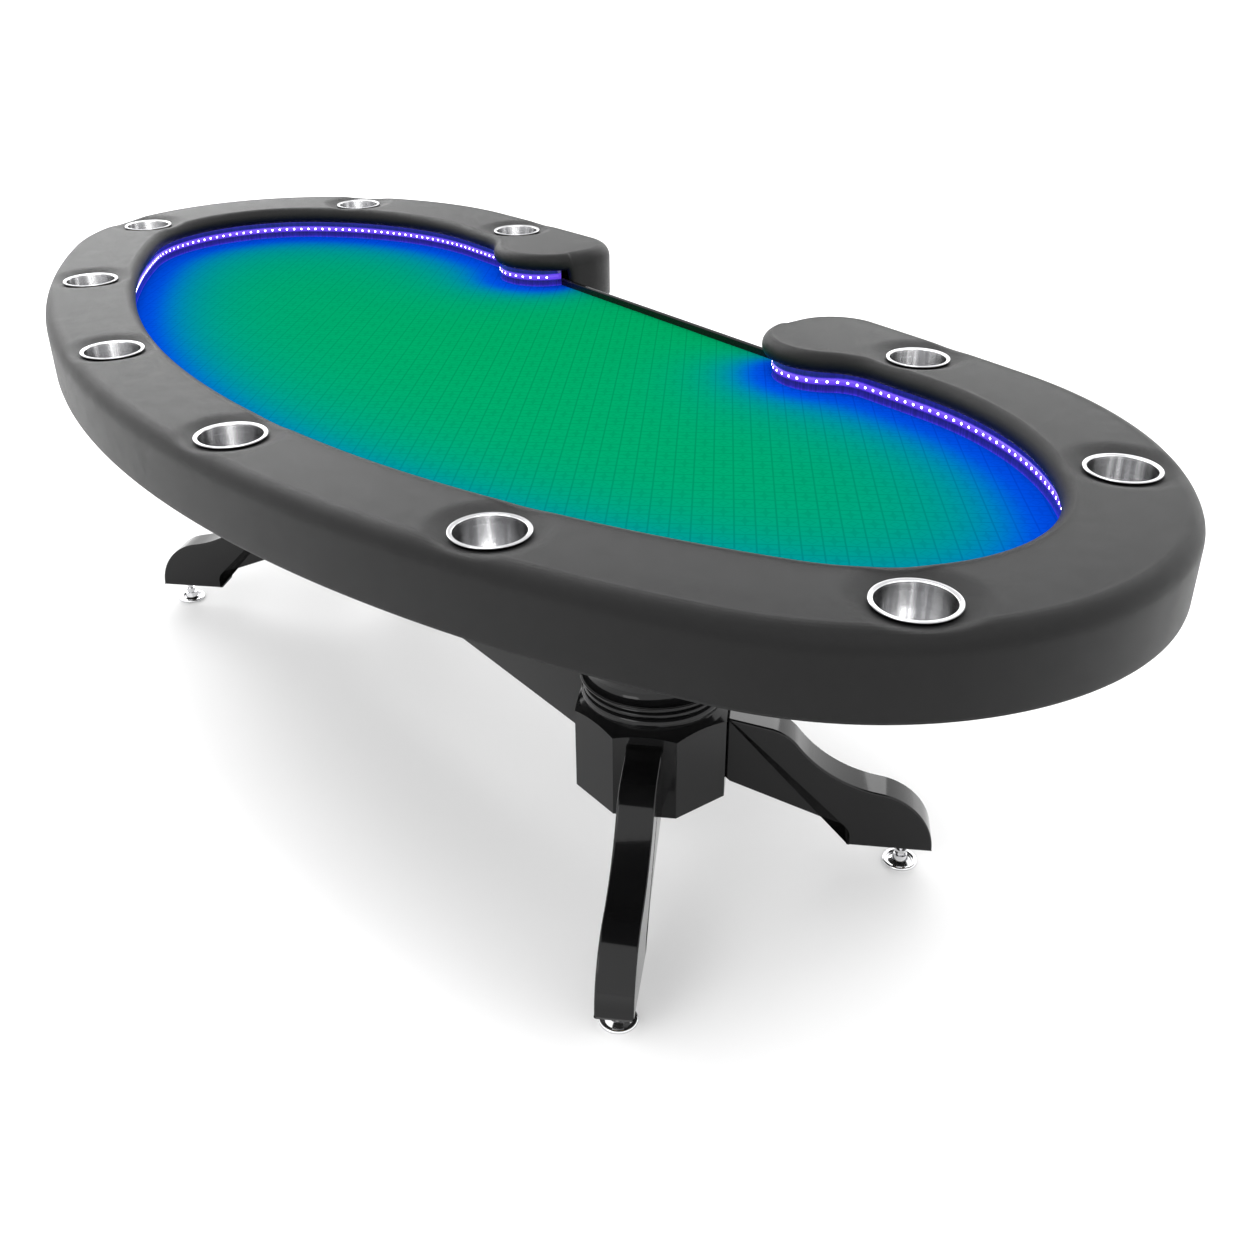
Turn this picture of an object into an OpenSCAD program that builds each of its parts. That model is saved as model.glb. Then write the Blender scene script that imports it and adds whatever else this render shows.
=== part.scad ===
// Ten-seat poker table with a lit oval playing field and two turned pedestals.
// Millimetres, +Z up. The origin is on the floor under the middle of the table.
// The dealer sits on the +Y side, in the gap between the two ends of the armrest.

/* [Table top] */
// Height of the cup rims above the floor
rim_z = 762; // [740:1:790]
// How far the top of the armrest stands above the cup rims
crown = 4; // [2:1:6]
// Height of the armrest's outer side
side_h = 101; // [95:1:110]
// Depth of the cloth below the cup rims
cloth_drop = 63; // [55:1:66]
// Distance from the middle to the front edge
front_y = 592; // [585:1:600]
// Radii of the outer edge, from the front middle round to the back
outer_radii = [2140, 445, 610, 9932];
// Angles turned through on the first three of those radii
outer_turns = [29, 98.5, 48.25];
// Distance from the middle to the front inner edge of the armrest
inner_front_y = 441; // [436:1:446]
// Radii of the inner edge, from the front middle round to the back
inner_radii = [1850, 258, 518];
// Angles turned through on those radii
inner_turns = [32.3, 99.3, 48.4];

/* [Armrest ends] */
// Where the rounded ends of the armrest start, measured from the middle
head_x = 405; // [400:1:412]
// Corner radius at the outer side of an end
head_corner_r = 100; // [95:1:105]
// Radius of the lobe at the inner side of an end
head_lobe_r = 115; // [110:1:118]
// Angle turned through by the lobe before it flows back into the inner edge
head_lobe_turn = 130; // [125:1:135]
// Radius of the hollow between the lobe and the inner edge
head_hollow_r = 120; // [110:1:130]

/* [Lit wall] */
// How far the lit wall is set back under the armrest
wall_setback = 12; // [8:1:15]
// Thickness of the black acrylic wall
wall_t = 5; // [4:0.5:6]
// Radius of the wall's lobe at an armrest end
wall_lobe_r = 88; // [85:1:92]
// Where the centre of that lobe is, measured from the middle
wall_lobe_x = 420; // [415:1:425]
// Radius of the hollow beside that lobe
wall_hollow_r = 66; // [60:1:72]
// Angle between the lobe and the back wall
wall_hollow_turn = 50; // [45:1:55]
// Height of the light strip
strip_h = 10; // [8:1:12]
// Distance between two light chips
chip_pitch = 16.7; // [15:0.1:20]

/* [Cup holders] */
// Centres of the cup holders on the right-hand half
cup_spots = [[243, -499], [719, -384], [1132, -127], [1049, 351], [579, 495]];
// Diameter of the flange
cup_flange_d = 100; // [98:1:102]
// Outer diameter of the cup
cup_d = 89; // [87:0.5:89]
// Wall thickness
cup_t = 1; // [0.8:0.1:1.2]
// Depth below the rim
cup_depth = 72; // [60:1:74]

/* [Dealer edge] */
// Distance from the middle to the lip in front of the dealer
dealer_y = 442; // [440:1:445]
// Thickness of the lip
lip_t = 7; // [6:0.5:8]
// Height of the lip above the cloth
lip_h = 14; // [10:1:16]

/* [Pedestals] */
// Distance of each pedestal from the middle
pedestal_x = 522; // [515:1:530]
// Offset of the pedestals towards the dealer
pedestal_y = 15; // [12:1:18]
// Size of the octagonal block across its corners
block_d = 258; // [254:1:262]
// Underside of the block above the floor
block_z = 140; // [135:1:145]
// Corner height of the block above the floor
block_corner_z = 281; // [278:1:284]
// Thickness of the legs
leg_t = 56; // [50:1:58]
// Distance from the pedestal's axis to a levelling foot
foot_reach = 411; // [405:1:415]
// Thickness of the stretcher board
stretcher_t = 36; // [32:1:40]
// Height of the stretcher board
stretcher_h = 130; // [120:1:135]

/* [Levelling feet] */
// Underside of the legs above the floor
leg_clear = 45; // [43:1:48]
// Diameter of a foot plate
plate_d = 58; // [54:1:60]
// Diameter of the threaded stem
stem_d = 12; // [10:1:12]

/* [Hidden] */

$fn = 96;
arc_step = 6;               // largest turn between two points of an outline
top_z = rim_z + crown;
under_z = rim_z - side_h;
cloth_z = rim_z - cloth_drop;
deck_t = 18;
deck_z = under_z + deck_t;
cloth_t = 1;
foam_t = 4;
cover_t = 2;                // vinyl
skirt_t = 12;
riser_t = 12;
board_t = 12;
lip_bottom_z = rim_z - 29;  // underside of the padded armrest
board_z = lip_bottom_z + cover_t;
outer_roll = 28;            // radius of the armrest's outer top edge
inner_roll = 19;            // and of its inner top edge
lip_round = [10, 14];       // width and height of the rounding under the inner lip
seat_d = cup_flange_d + 4;  // flat seat round each cup hole
cup_hole_d = cup_d + 1;
seat_z = rim_z - 2;

// ---- Outlines -------------------------------------------------------------
// A path is a start point, a heading and a list of moves. A move is
// [radius, turn], with a left turn positive, or [length, 0] for a straight.
// d moves the whole path to its right-hand side.
function heading_vec(h) = [cos(h), sin(h)];
function right_of(h) = [sin(h), -cos(h)];
function side(m) = m[1] > 0 ? 1 : -1;
function move_end(p, h, m) = m[1] == 0
    ? p + m[0] * heading_vec(h)
    : p - side(m) * m[0] * right_of(h) + side(m) * m[0] * right_of(h + m[1]);
function move_points(p, h, m, d) = m[1] == 0
    ? [move_end(p, h, m) + d * right_of(h)]
    : let (n = ceil(abs(m[1]) / arc_step), c = p - side(m) * m[0] * right_of(h))
      [for (i = [1:n]) c + (side(m) * m[0] + d) * right_of(h + m[1] * i / n)];
function walk(p, h, moves, d = 0, i = 0) = i >= len(moves) ? []
    : concat(move_points(p, h, moves[i], d),
             walk(move_end(p, h, moves[i]), h + moves[i][1], moves, d, i + 1));
function walk_end(p, h, moves, i = 0) = i >= len(moves) ? p
    : walk_end(move_end(p, h, moves[i]), h + moves[i][1], moves, i + 1);
function reverse(v) = [for (i = [len(v) - 1:-1:0]) v[i]];
function mirrored(v) = [for (p = reverse(v)) [-p[0], p[1]]];

// Outer edge: front middle, round the right-hand end, to the start of the head
outer_start = [0, -front_y];
outer_first = [for (i = [0:2]) [outer_radii[i], outer_turns[i]]];
outer_turned = outer_turns[0] + outer_turns[1] + outer_turns[2];
back_left_turn = asin(head_x / outer_radii[3]);
outer_moves = concat(outer_first, [[outer_radii[3], 180 - outer_turned - back_left_turn]]);
outer_end = walk_end(outer_start, 0, outer_moves);

// Inner edge: front middle to the start of the straight back edge
inner_start = [0, -inner_front_y];
inner_moves = [for (i = [0:2]) [inner_radii[i], inner_turns[i]]];
inner_end = walk_end(inner_start, 0, inner_moves);
back_y = inner_end[1];

// Head: from the outer edge round to the straight back edge
hollow_turn = head_lobe_turn - 90;
lobe_y = back_y + head_lobe_r * cos(hollow_turn) - head_hollow_r * (1 - cos(hollow_turn));
corner_move = [head_corner_r, 90 + back_left_turn];
corner_end = walk_end(outer_end, 180 - back_left_turn, [corner_move]);
head_moves = [corner_move, [corner_end[1] - lobe_y, 0],
    [head_lobe_r, head_lobe_turn], [head_hollow_r, -hollow_turn]];

// Half of the armrest's outline, from the front middle of the outer edge round
// the head and back to the front middle of the inner edge
function armrest_half(d) = concat(
    [outer_start + [0, -d]],
    walk(outer_start, 0, outer_moves, d),
    walk(outer_end, 180 - back_left_turn, head_moves, d),
    reverse(concat([inner_start + [0, d]], walk(inner_start, 0, inner_moves, -d))));
full_half = armrest_half(0);
outer_count = len(walk(outer_start, 0, outer_moves));
corner_count = len(walk(outer_end, 180, [corner_move])) + 1;
tall_last = outer_count + corner_count;
// 1 where the armrest has its tall outer side, 0 where it has the inner lip
half_share = [for (i = [0:len(full_half) - 1]) i <= tall_last + 1 ? 1 : 0];
half_inward = (armrest_half(-1) - full_half);

// The closed outline, moved inwards by a on the outer side and b on the inner
function armrest_ring(a, b) = let (half = [for (i = [0:len(full_half) - 1])
        full_half[i] + half_inward[i] * (half_share[i] * a + (1 - half_share[i]) * b)])
    concat(half, mirrored([for (i = [1:len(half) - 2]) half[i]]));

// Tall outer side only: a strip between two distances inside the outline
function outer_wall_half(d) = concat(
    [outer_start + [0, -d]],
    walk(outer_start, 0, outer_moves, d),
    walk(outer_end, 180 - back_left_turn, [head_moves[0], head_moves[1]], d));
function strip_ring(outside, inside) = let (
        a = concat(mirrored([for (i = [1:len(outside) - 1]) outside[i]]), outside),
        b = concat(mirrored([for (i = [1:len(inside) - 1]) inside[i]]), inside))
    concat(a, reverse(b));

// Lit wall: front middle, round to the dealer edge, on the visible face
wall_back_y = back_y + wall_setback;
wall_lobe_y = wall_back_y + wall_lobe_r * cos(wall_hollow_turn)
    - wall_hollow_r * (1 - cos(wall_hollow_turn));
wall_inner_radii = [for (r = inner_radii) r + wall_setback];
wall_start = [0, -inner_front_y - wall_setback];
wall_arc_moves = [for (i = [0:2]) [wall_inner_radii[i], inner_turns[i]]];
wall_arc_end = walk_end(wall_start, 0, wall_arc_moves);
wall_hollow_x = wall_lobe_x + (wall_lobe_r + wall_hollow_r) * sin(wall_hollow_turn);
wall_last_turn = 90 + wall_hollow_turn - asin((wall_lobe_y - dealer_y) / wall_lobe_r);
wall_moves = concat(wall_arc_moves,
    [[wall_arc_end[0] - wall_hollow_x, 0], [wall_hollow_r, wall_hollow_turn],
     [wall_lobe_r, -wall_last_turn]]);
function wall_half(d) = concat([wall_start + [0, -d]], walk(wall_start, 0, wall_moves, d));
function field(d) = let (half = wall_half(d))
    concat(half, mirrored([for (i = [1:len(half) - 1]) half[i]]));

// Points at equal distances along the lit wall
function run(v, i) = norm(v[i + 1] - v[i]);
function lengths(v, i = 0, s = 0) = i >= len(v) ? []
    : concat([s], lengths(v, i + 1, s + (i < len(v) - 1 ? run(v, i) : 0)));
wall_line = wall_half(0);
wall_lengths = lengths(wall_line);
wall_length = wall_lengths[len(wall_lengths) - 1];
function span_of(s) = max([for (i = [0:len(wall_line) - 2]) wall_lengths[i] <= s ? i : 0]);
function wall_place(s) = let (i = span_of(s), v = (wall_line[i + 1] - wall_line[i]) / run(wall_line, i))
    [wall_line[i] + v * (s - wall_lengths[i]), atan2(v[1], v[0])];

// ---- Small helpers --------------------------------------------------------
module slab(outline, z0, z1) {
    translate([0, 0, z0]) linear_extrude(z1 - z0) polygon(outline);
}
module tube(d_out, d_in, h) {
    difference() {
        cylinder(d = d_out, h = h);
        translate([0, 0, -1]) cylinder(d = d_in, h = h + 2);
    }
}
module at_both_sides() {
    children();
    mirror([1, 0, 0]) children();
}
function cup_spot(i) = i <= 5 ? cup_spots[i - 1] : [-cup_spots[i - 6][0], cup_spots[i - 6][1]];
module at_cups(z) {
    for (i = [1:10]) translate([cup_spot(i)[0], cup_spot(i)[1], z]) children();
}

// ---- Padded armrest -------------------------------------------------------
// The section rolls over the outer edge and round the inner lip. s shrinks it
// evenly, so that the cover and the foam under it share one shape.
roll_angles = [-90, -45, 0, 30, 60, 90];
board_inset = [10, 12];     // from the outer side and from the inner lip
function outer_inset(t, s) = s + (outer_roll - s) * (t < 0 ? 0 : 1 - cos(t));
function outer_level(t, s) = t < 0
    ? lip_bottom_z + s + (top_z - outer_roll - lip_bottom_z - s) * (1 + t / 90)
    : top_z - outer_roll + (outer_roll - s) * sin(t);
function inner_width(t) = t < 0 ? lip_round[0] : inner_roll;
function inner_height(t) = t < 0 ? lip_round[1] : inner_roll;
function inner_inset(t, s) = s + (inner_width(t) - s) * (1 - cos(t));
function inner_level(t, s) = top_z - inner_roll + (inner_height(t) - s) * sin(t);
ring_share = concat(half_share, [for (i = [len(half_share) - 2:-1:1]) half_share[i]]);
function armrest_loop(t, s, foot_z) = let (
        flat = armrest_ring(outer_inset(t, s), inner_inset(t, s)),
        za = outer_level(t, s), zb = inner_level(t, s))
    [for (i = [0:len(flat) - 1]) [flat[i][0], flat[i][1],
        t == -90 && ring_share[i] == 1 ? foot_z : za * ring_share[i] + zb * (1 - ring_share[i])]];
ring_n = len(ring_share);
loops = len(roll_angles);
function next(i) = (i + 1) % ring_n;
// Side triangles of a stack of loops whose first point is number base
function stack_sides(base) = [for (j = [0:loops - 2], i = [0:ring_n - 1])
    let (a = base + j * ring_n + i, b = base + j * ring_n + next(i))
    each [[a, a + ring_n, b + ring_n], [a, b + ring_n, b]]];
// Triangles across the armrest, from outer points a0 to a1 and inner points b0
// to b1, both counted from the front middle
half_n = len(half_share);
function inner_index(q) = half_n - 1 - q;
function zip(a0, a1, b0, b1) = concat(
    [for (i = [a0:a1 - 1]) let (q = b0 + ceil((i + 0.5 - a0) / (a1 - a0) * (b1 - b0) - 0.5))
        [i, inner_index(q), i + 1]],
    [for (q = [b0:b1 - 1]) let (i = a0 + floor((q + 0.5 - b0) / (b1 - b0) * (a1 - a0) + 0.5))
        [inner_index(q), inner_index(q + 1), i]]);
inner_count = len(walk(inner_start, 0, inner_moves)) + 1;
half_lid = concat(zip(0, outer_count, 0, inner_count),
    zip(outer_count, tall_last, inner_count, inner_index(tall_last + 1)));
function mirror_index(i) = i % (half_n - 1) == 0 ? i : ring_n - i;
lid = concat(half_lid, [for (f = half_lid) reverse([for (i = f) mirror_index(i)])]);
function stack_lid(base) = [for (f = lid) [for (i = f) base + (loops - 1) * ring_n + i]];
// Butt joints between the lengths that the armrest's wood and foam are made of:
// halfway between neighbouring cups, and across the middle of each cup hole
joint_gap = 0.3;
module butt_joint(spot, along, z0, z1) {
    translate([spot[0], spot[1], z0]) rotate(atan2(along[1], along[0]))
        translate([-joint_gap / 2, -150, 0]) cube([joint_gap, 300, z1 - z0]);
}
module joints_between_cups(z0, z1) {
    at_both_sides() for (k = [0:4])
        butt_joint(knob_spots[k], cup_spot(k + 1) - (k == 0 ? cup_spot(6) : cup_spot(k)), z0, z1);
}
module joints_at_cups(z0, z1) {
    at_both_sides() for (k = [1:5]) butt_joint(cup_spot(k), knob_spots[k] - knob_spots[k - 1], z0, z1);
}
module armrest_foam() {
    points = [for (t = roll_angles) each armrest_loop(t, cover_t, board_z)];
    bottom = [for (f = lid) reverse(f)];
    color("dimgray") difference() {
        polyhedron(points, concat(bottom, stack_lid(0), stack_sides(0)));
        slab(armrest_ring(board_inset[0], board_inset[1]), lip_bottom_z - 1, board_z + board_t);
        at_cups(seat_z) cylinder(d = seat_d, h = 20);
        cup_holes();
        joints_between_cups(lip_bottom_z - 1, top_z + 1);
        joints_at_cups(lip_bottom_z - 1, top_z + 1);
    }
}
// The vinyl: an outer and an inner stack of loops, joined along the bottom edge
module armrest_cover() {
    base = loops * ring_n;
    outside = [for (t = roll_angles) each armrest_loop(t, 0, under_z)];
    inside = [for (t = roll_angles) each armrest_loop(t, cover_t, under_z)];
    inner_faces = [for (f = concat(stack_lid(base), stack_sides(base))) reverse(f)];
    hem = [for (i = [0:ring_n - 1]) each
        [[i, next(i), base + next(i)], [i, base + next(i), base + i]]];
    color([0.08, 0.08, 0.085]) difference() {
        polyhedron(concat(outside, inside), concat(stack_lid(0), stack_sides(0), inner_faces, hem));
        at_cups(seat_z - 5) cylinder(d = seat_d, h = 20);
        translate([-head_x, dealer_y - 0.3, under_z - 1])
            cube([2 * head_x, lip_t + 0.6, cloth_z + lip_h + 1.3 - under_z]);
    }
}
module cup_holes() {
    at_cups(under_z) cylinder(d = cup_hole_d, h = side_h + 20);
}
module armrest_board() {
    color("burlywood") difference() {
        slab(armrest_ring(board_inset[0], board_inset[1]), board_z, board_z + board_t);
        cup_holes();
        at_knobs(board_z - 1) cylinder(d = insert_d, h = board_t + 2);
        joints_at_cups(board_z - 1, board_z + board_t + 1);
    }
}
module armrest_skirt() {
    color("burlywood") difference() {
        slab(strip_ring(outer_wall_half(-cover_t), outer_wall_half(-cover_t - skirt_t)), under_z, board_z);
        joints_at_cups(under_z - 1, board_z + 1);
    }
}

// ---- Deck, playing field and lit wall -------------------------------------
deck_back_y = dealer_y + lip_t - 2;
deck_inset = cover_t + skirt_t;
deck_half = concat(outer_wall_half(-deck_inset), [[corner_end[0] + deck_inset, deck_back_y]]);
module table_deck() {
    color("sienna") difference() {
        slab(concat(deck_half, mirrored([for (i = [1:len(deck_half) - 1]) deck_half[i]])), under_z, deck_z);
        at_knobs(under_z - 1) cylinder(d = knob_bolt_d + 1, h = deck_t + 2);
        at_plate_screws(under_z - 1) cylinder(d = plate_screw_d, h = plate_screw_l - plate_t + 1.5);
        translate([cable_x, cable_y, under_z - 1]) cylinder(d = cable_hole_d, h = deck_t + 2);
    }
}
module playfield_board() {
    color("tan") slab(field(0), deck_z, cloth_z - cloth_t - foam_t);
}
module playfield_foam() {
    color("gainsboro") slab(field(0), cloth_z - cloth_t - foam_t, cloth_z - cloth_t);
}
module speed_cloth() {
    color([0, 0.62, 0.36]) slab(field(0), cloth_z - cloth_t, cloth_z);
}
module wall_riser() {
    color("burlywood") difference() {
        slab(strip_ring(wall_half(wall_t + riser_t), wall_half(wall_t)), deck_z, board_z);
        feed_passage();
        joints_between_cups(deck_z - 1, board_z + 1);
    }
}
strip_z = (cloth_z + board_z) / 2;
strip_t = 1.5;
channel_h = strip_h + 1;
module lit_wall() {
    color([0.02, 0.02, 0.03]) difference() {
        slab(strip_ring(wall_half(wall_t), wall_half(0)), deck_z, board_z);
        slab(strip_ring(wall_half(wall_t - 2), wall_half(-1)), strip_z - channel_h / 2, strip_z + channel_h / 2);
        feed_passage();
    }
}
module led_strip() {
    color("whitesmoke") slab(strip_ring(wall_half(wall_t - 2), wall_half(wall_t - 2 - strip_t)),
        strip_z - strip_h / 2, strip_z + strip_h / 2);
}
module led_chips() {
    count = floor((wall_length - 20) / chip_pitch);
    color("aliceblue") at_both_sides() for (i = [0:count - 1]) {
        place = wall_place((i + 0.5) * chip_pitch);
        translate([place[0][0], place[0][1], strip_z]) rotate(place[1])
            translate([-2.5, -wall_t + 2 + strip_t - 0.05, -2.5]) cube([5, 1.4, 5]);
    }
}

// ---- Dealer edge ----------------------------------------------------------
apron_x = corner_end[0] - 1;
module dealer_apron() {
    color([0.05, 0.05, 0.05]) translate([-apron_x, deck_back_y, under_z])
        cube([2 * apron_x, 12, cloth_z - under_z]);
}
lip_x = wall_lobe_x - wall_lobe_r * cos(asin((wall_lobe_y - dealer_y) / wall_lobe_r));
module dealer_lip() {
    r = lip_t / 2;
    color([0.04, 0.04, 0.045]) translate([-lip_x, dealer_y, 0]) rotate([90, 0, 90])
        linear_extrude(2 * lip_x) union() {
            translate([0, cloth_z]) square([lip_t, lip_h - r]);
            translate([r, cloth_z + lip_h - r]) circle(r = r, $fn = 32);
        }
}

// ---- Cup holders ----------------------------------------------------------
module cup_holder() {
    r = cup_d / 2;
    f = cup_flange_d / 2;
    color("silver") rotate_extrude() difference() {
        union() {
            translate([0, rim_z - cup_depth]) square([r, cup_depth]);
            translate([0, seat_z]) square([f - 1, rim_z - seat_z]);
            translate([f - 1, seat_z + 1]) circle(r = 1, $fn = 24);
        }
        translate([-1, rim_z - cup_depth + cup_t]) square([1 + r - cup_t, cup_depth + 1]);
    }
}
module cup_holder_at(i) {
    translate([cup_spot(i)[0], cup_spot(i)[1], 0]) cup_holder();
}

// ---- Hand-knob bolts that hold the armrest down ---------------------------
knob_bolt_d = 8;
insert_d = 12;
knob_spots = [[0, -517], [478, -462], [950, -275], [1188, 120], [838, 462], [420, 512]];
module at_knobs(z) {
    for (p = knob_spots) translate([p[0], p[1], z]) children();
    for (p = knob_spots) if (p[0] > 0) translate([-p[0], p[1], z]) children();
}
knob_outline = [for (a = [0:6:354]) (15.5 + 2.5 * cos(5 * a)) * heading_vec(a)];
module knob_bolt() {
    collar_h = 2;
    knob_h = 14;
    translate([0, 0, -knob_h - collar_h]) linear_extrude(knob_h) polygon(knob_outline);
    translate([0, 0, -collar_h - 1]) cylinder(d = 18, h = collar_h + 1);
    translate([0, 0, -knob_h]) cylinder(d = knob_bolt_d, h = board_z + board_t - 2 - under_z + knob_h);
}
module armrest_knob_bolts() {
    color("dimgray") at_knobs(under_z) knob_bolt();
}
module armrest_inserts() {
    color("darkgoldenrod") at_knobs(board_z) tube(insert_d, knob_bolt_d, board_t);
}

// ---- Pedestals ------------------------------------------------------------
plate_t = 18;
plate_w = 260;
plate_z = under_z - plate_t;
plate_screw_d = 5;
plate_screw_l = 30;
rod_d = 12;
module at_pedestal(s) {
    translate([s * pedestal_x, pedestal_y, 0]) children();
}
module at_plate_screws(z) {
    for (s = [-1, 1], x = [-1, 1], y = [-1, 1])
        translate([s * pedestal_x + x * (plate_w / 2 - 22), pedestal_y + y * (plate_w / 2 - 22), z]) children();
}
module mounting_plate(s) {
    color("saddlebrown") difference() {
        at_pedestal(s) translate([-plate_w / 2, -plate_w / 2, plate_z]) cube([plate_w, plate_w, plate_t]);
        at_plate_screws(plate_z - 1) cylinder(d = plate_screw_d, h = plate_t + 2);
        at_pedestal(s) translate([0, 0, plate_z - 1]) cylinder(d = rod_d + 1, h = plate_t + 2);
        at_pedestal(s) translate([0, 0, plate_z + 6]) cylinder(d = 32, h = plate_t);
    }
}
module mounting_screws() {
    color("gray") at_plate_screws(plate_z) union() {
        translate([0, 0, -3]) cylinder(d = 11, h = 3);
        cylinder(d = plate_screw_d, h = plate_screw_l);
    }
}
// Turned profile, from the block upwards, as [radius, height] pairs joined by
// beads and coves
shoulder_z = 297;
module column(s) {
    h0 = shoulder_z;
    color([0.03, 0.03, 0.03]) at_pedestal(s) difference() {
        rotate_extrude() difference() {
            union() {
                translate([0, h0]) square([106, 38]);
                translate([106, h0 + 9]) circle(r = 9, $fn = 48);
                translate([108, h0 + 22.5]) circle(r = 4.5, $fn = 32);
                translate([0, h0 + 36]) square([117, 4]);
                polygon(concat([[0, h0 + 40], [117, h0 + 40]], vase_points,
                    [[86, plate_z - 22], [0, plate_z - 22]]));
                translate([0, plate_z - 22]) square([92, 22]);
                translate([62, neck_z]) circle(r = 8, $fn = 48);
            }
            translate([-50, 0]) square([50, 900]);
        }
        translate([0, 0, 200]) cylinder(d = rod_d + 1, h = 500);
    }
}
neck_z = 520;
vase_top_z = neck_z - 12;
vase_low = [117, shoulder_z + 40];
vase_points = concat(
    [for (a = [5:8:85]) [117 - 17 * sin(a), vase_low[1] + 22 * (1 - cos(a))]],
    [for (a = [0:8:88]) [62 + 38 * cos(a), 372 + (vase_top_z - 372) * sin(a)]],
    [[60, vase_top_z], [60, neck_z + 12]],
    [for (a = [8:8:88]) [86 - 26 * cos(a), neck_z + 12 + (plate_z - 34 - neck_z) * sin(a)]]);
module octagon_block(s) {
    color([0.05, 0.05, 0.05]) at_pedestal(s) difference() {
        intersection() {
            translate([0, 0, block_z]) rotate(22.5) cylinder(d = block_d, h = shoulder_z - block_z, $fn = 8);
            rotate_extrude() polygon([[0, block_z - 1], [block_d, block_z - 1],
                [block_d, block_corner_z - 1.2], [block_d / 2 + 2, block_corner_z - 1.2],
                [118, 287.5], [110, 294], [106, shoulder_z + 1], [0, shoulder_z + 1]]);
        }
        translate([0, 0, block_z - 1]) cylinder(d = rod_d + 1, h = 300);
        translate([0, 0, block_z - 1]) cylinder(d = 36, h = 15);
        for (a = leg_angles(s)) rotate(a) for (z = leg_bolt_levels) leg_bolt_hole(z);
        rotate(s > 0 ? 180 : 0) for (z = stretcher_bolt_levels) leg_bolt_hole(z);
    }
}
module tie_rod(s) {
    color("silver") at_pedestal(s) translate([0, 0, block_z + 2]) cylinder(d = rod_d, h = under_z - block_z - 4);
}
module rod_nut() {
    tube(32, rod_d, 2.5);
    translate([0, 0, 2.5]) difference() {
        cylinder(d = 21, h = 9, $fn = 6);
        translate([0, 0, -1]) cylinder(d = rod_d, h = 11);
    }
}
module tie_rod_nuts() {
    color("silver") for (s = [-1, 1]) at_pedestal(s) {
        translate([0, 0, plate_z + 6]) rod_nut();
        translate([0, 0, block_z + 14]) mirror([0, 0, 1]) rod_nut();
    }
}

// ---- Legs -----------------------------------------------------------------
// Legs leave the block on its two outward diagonal faces
function leg_angles(s) = s > 0 ? [-45, 45] : [225, 135];
face_r = block_d / 2 * cos(22.5);
leg_bolt_d = 8;
leg_bolt_levels = [185, 238];
stretcher_bolt_levels = [175, 235];
leg_bolt_l = 90;
module leg_bolt_hole(z) {
    translate([face_r - 45, 0, z]) rotate([0, 90, 0]) cylinder(d = leg_bolt_d, h = 60);
}
// Side view of a leg: a cyma curve along the top, a flat sole and a hollow
// behind it
leg_top_start = [face_r, 272];
leg_top_heading = -11.3;
leg_knee_moves = [[68, 0], [77, -41.3], [210, 43.8]];
leg_toe_turn = 81.2;
leg_toe_start = walk_end(leg_top_start, leg_top_heading, leg_knee_moves);
leg_toe_r = (leg_toe_start[1] - leg_clear) / sin(leg_toe_turn);
leg_top_moves = concat(leg_knee_moves, [[leg_toe_r, -leg_toe_turn]]);
leg_sole_r = 321;
leg_under = [[leg_sole_r - 28, 88], [face_r + 7, 153], [face_r, 160]];
leg_profile = concat(
    [leg_top_start], walk(leg_top_start, leg_top_heading, leg_top_moves),
    [[leg_sole_r, leg_clear]],
    [for (a = [0:10:80]) [leg_sole_r - 28 + 28 * cos(a), 60 + 28 * sin(a)]],
    leg_under);
insert_h = 18;
bore_top_z = 114;
module leg(s, k) {
    color([0.04, 0.04, 0.04]) at_pedestal(s) rotate(leg_angles(s)[k]) difference() {
        translate([0, leg_t / 2, 0]) rotate([90, 0, 0]) linear_extrude(leg_t) polygon(leg_profile);
        translate([foot_reach, 0, leg_clear - 1]) cylinder(d = stem_d + 1, h = bore_top_z - leg_clear + 1);
        translate([foot_reach, 0, leg_clear - 1]) cylinder(d = stem_d + 8, h = insert_h + 1);
        for (z = leg_bolt_levels) leg_bolt_hole(z);
    }
}
module leg_bolts() {
    color("silver") for (s = [-1, 1]) at_pedestal(s) for (a = leg_angles(s), z = leg_bolt_levels)
        rotate(a) translate([face_r - 44, 0, z]) rotate([0, 90, 0]) cylinder(d = leg_bolt_d, h = 58);
}

// ---- Stretcher ------------------------------------------------------------
stretcher_x = pedestal_x - face_r;
module stretcher() {
    color([0.05, 0.05, 0.05]) difference() {
        translate([-stretcher_x, pedestal_y - stretcher_t / 2, block_z])
            cube([2 * stretcher_x, stretcher_t, stretcher_h]);
        for (s = [-1, 1]) at_pedestal(s) rotate(s > 0 ? 180 : 0) for (z = stretcher_bolt_levels) leg_bolt_hole(z);
    }
}
module stretcher_bolts() {
    color("silver") for (s = [-1, 1]) at_pedestal(s) for (z = stretcher_bolt_levels)
        rotate(s > 0 ? 180 : 0) translate([face_r - 44, 0, z]) rotate([0, 90, 0]) cylinder(d = leg_bolt_d, h = 58);
}

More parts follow.
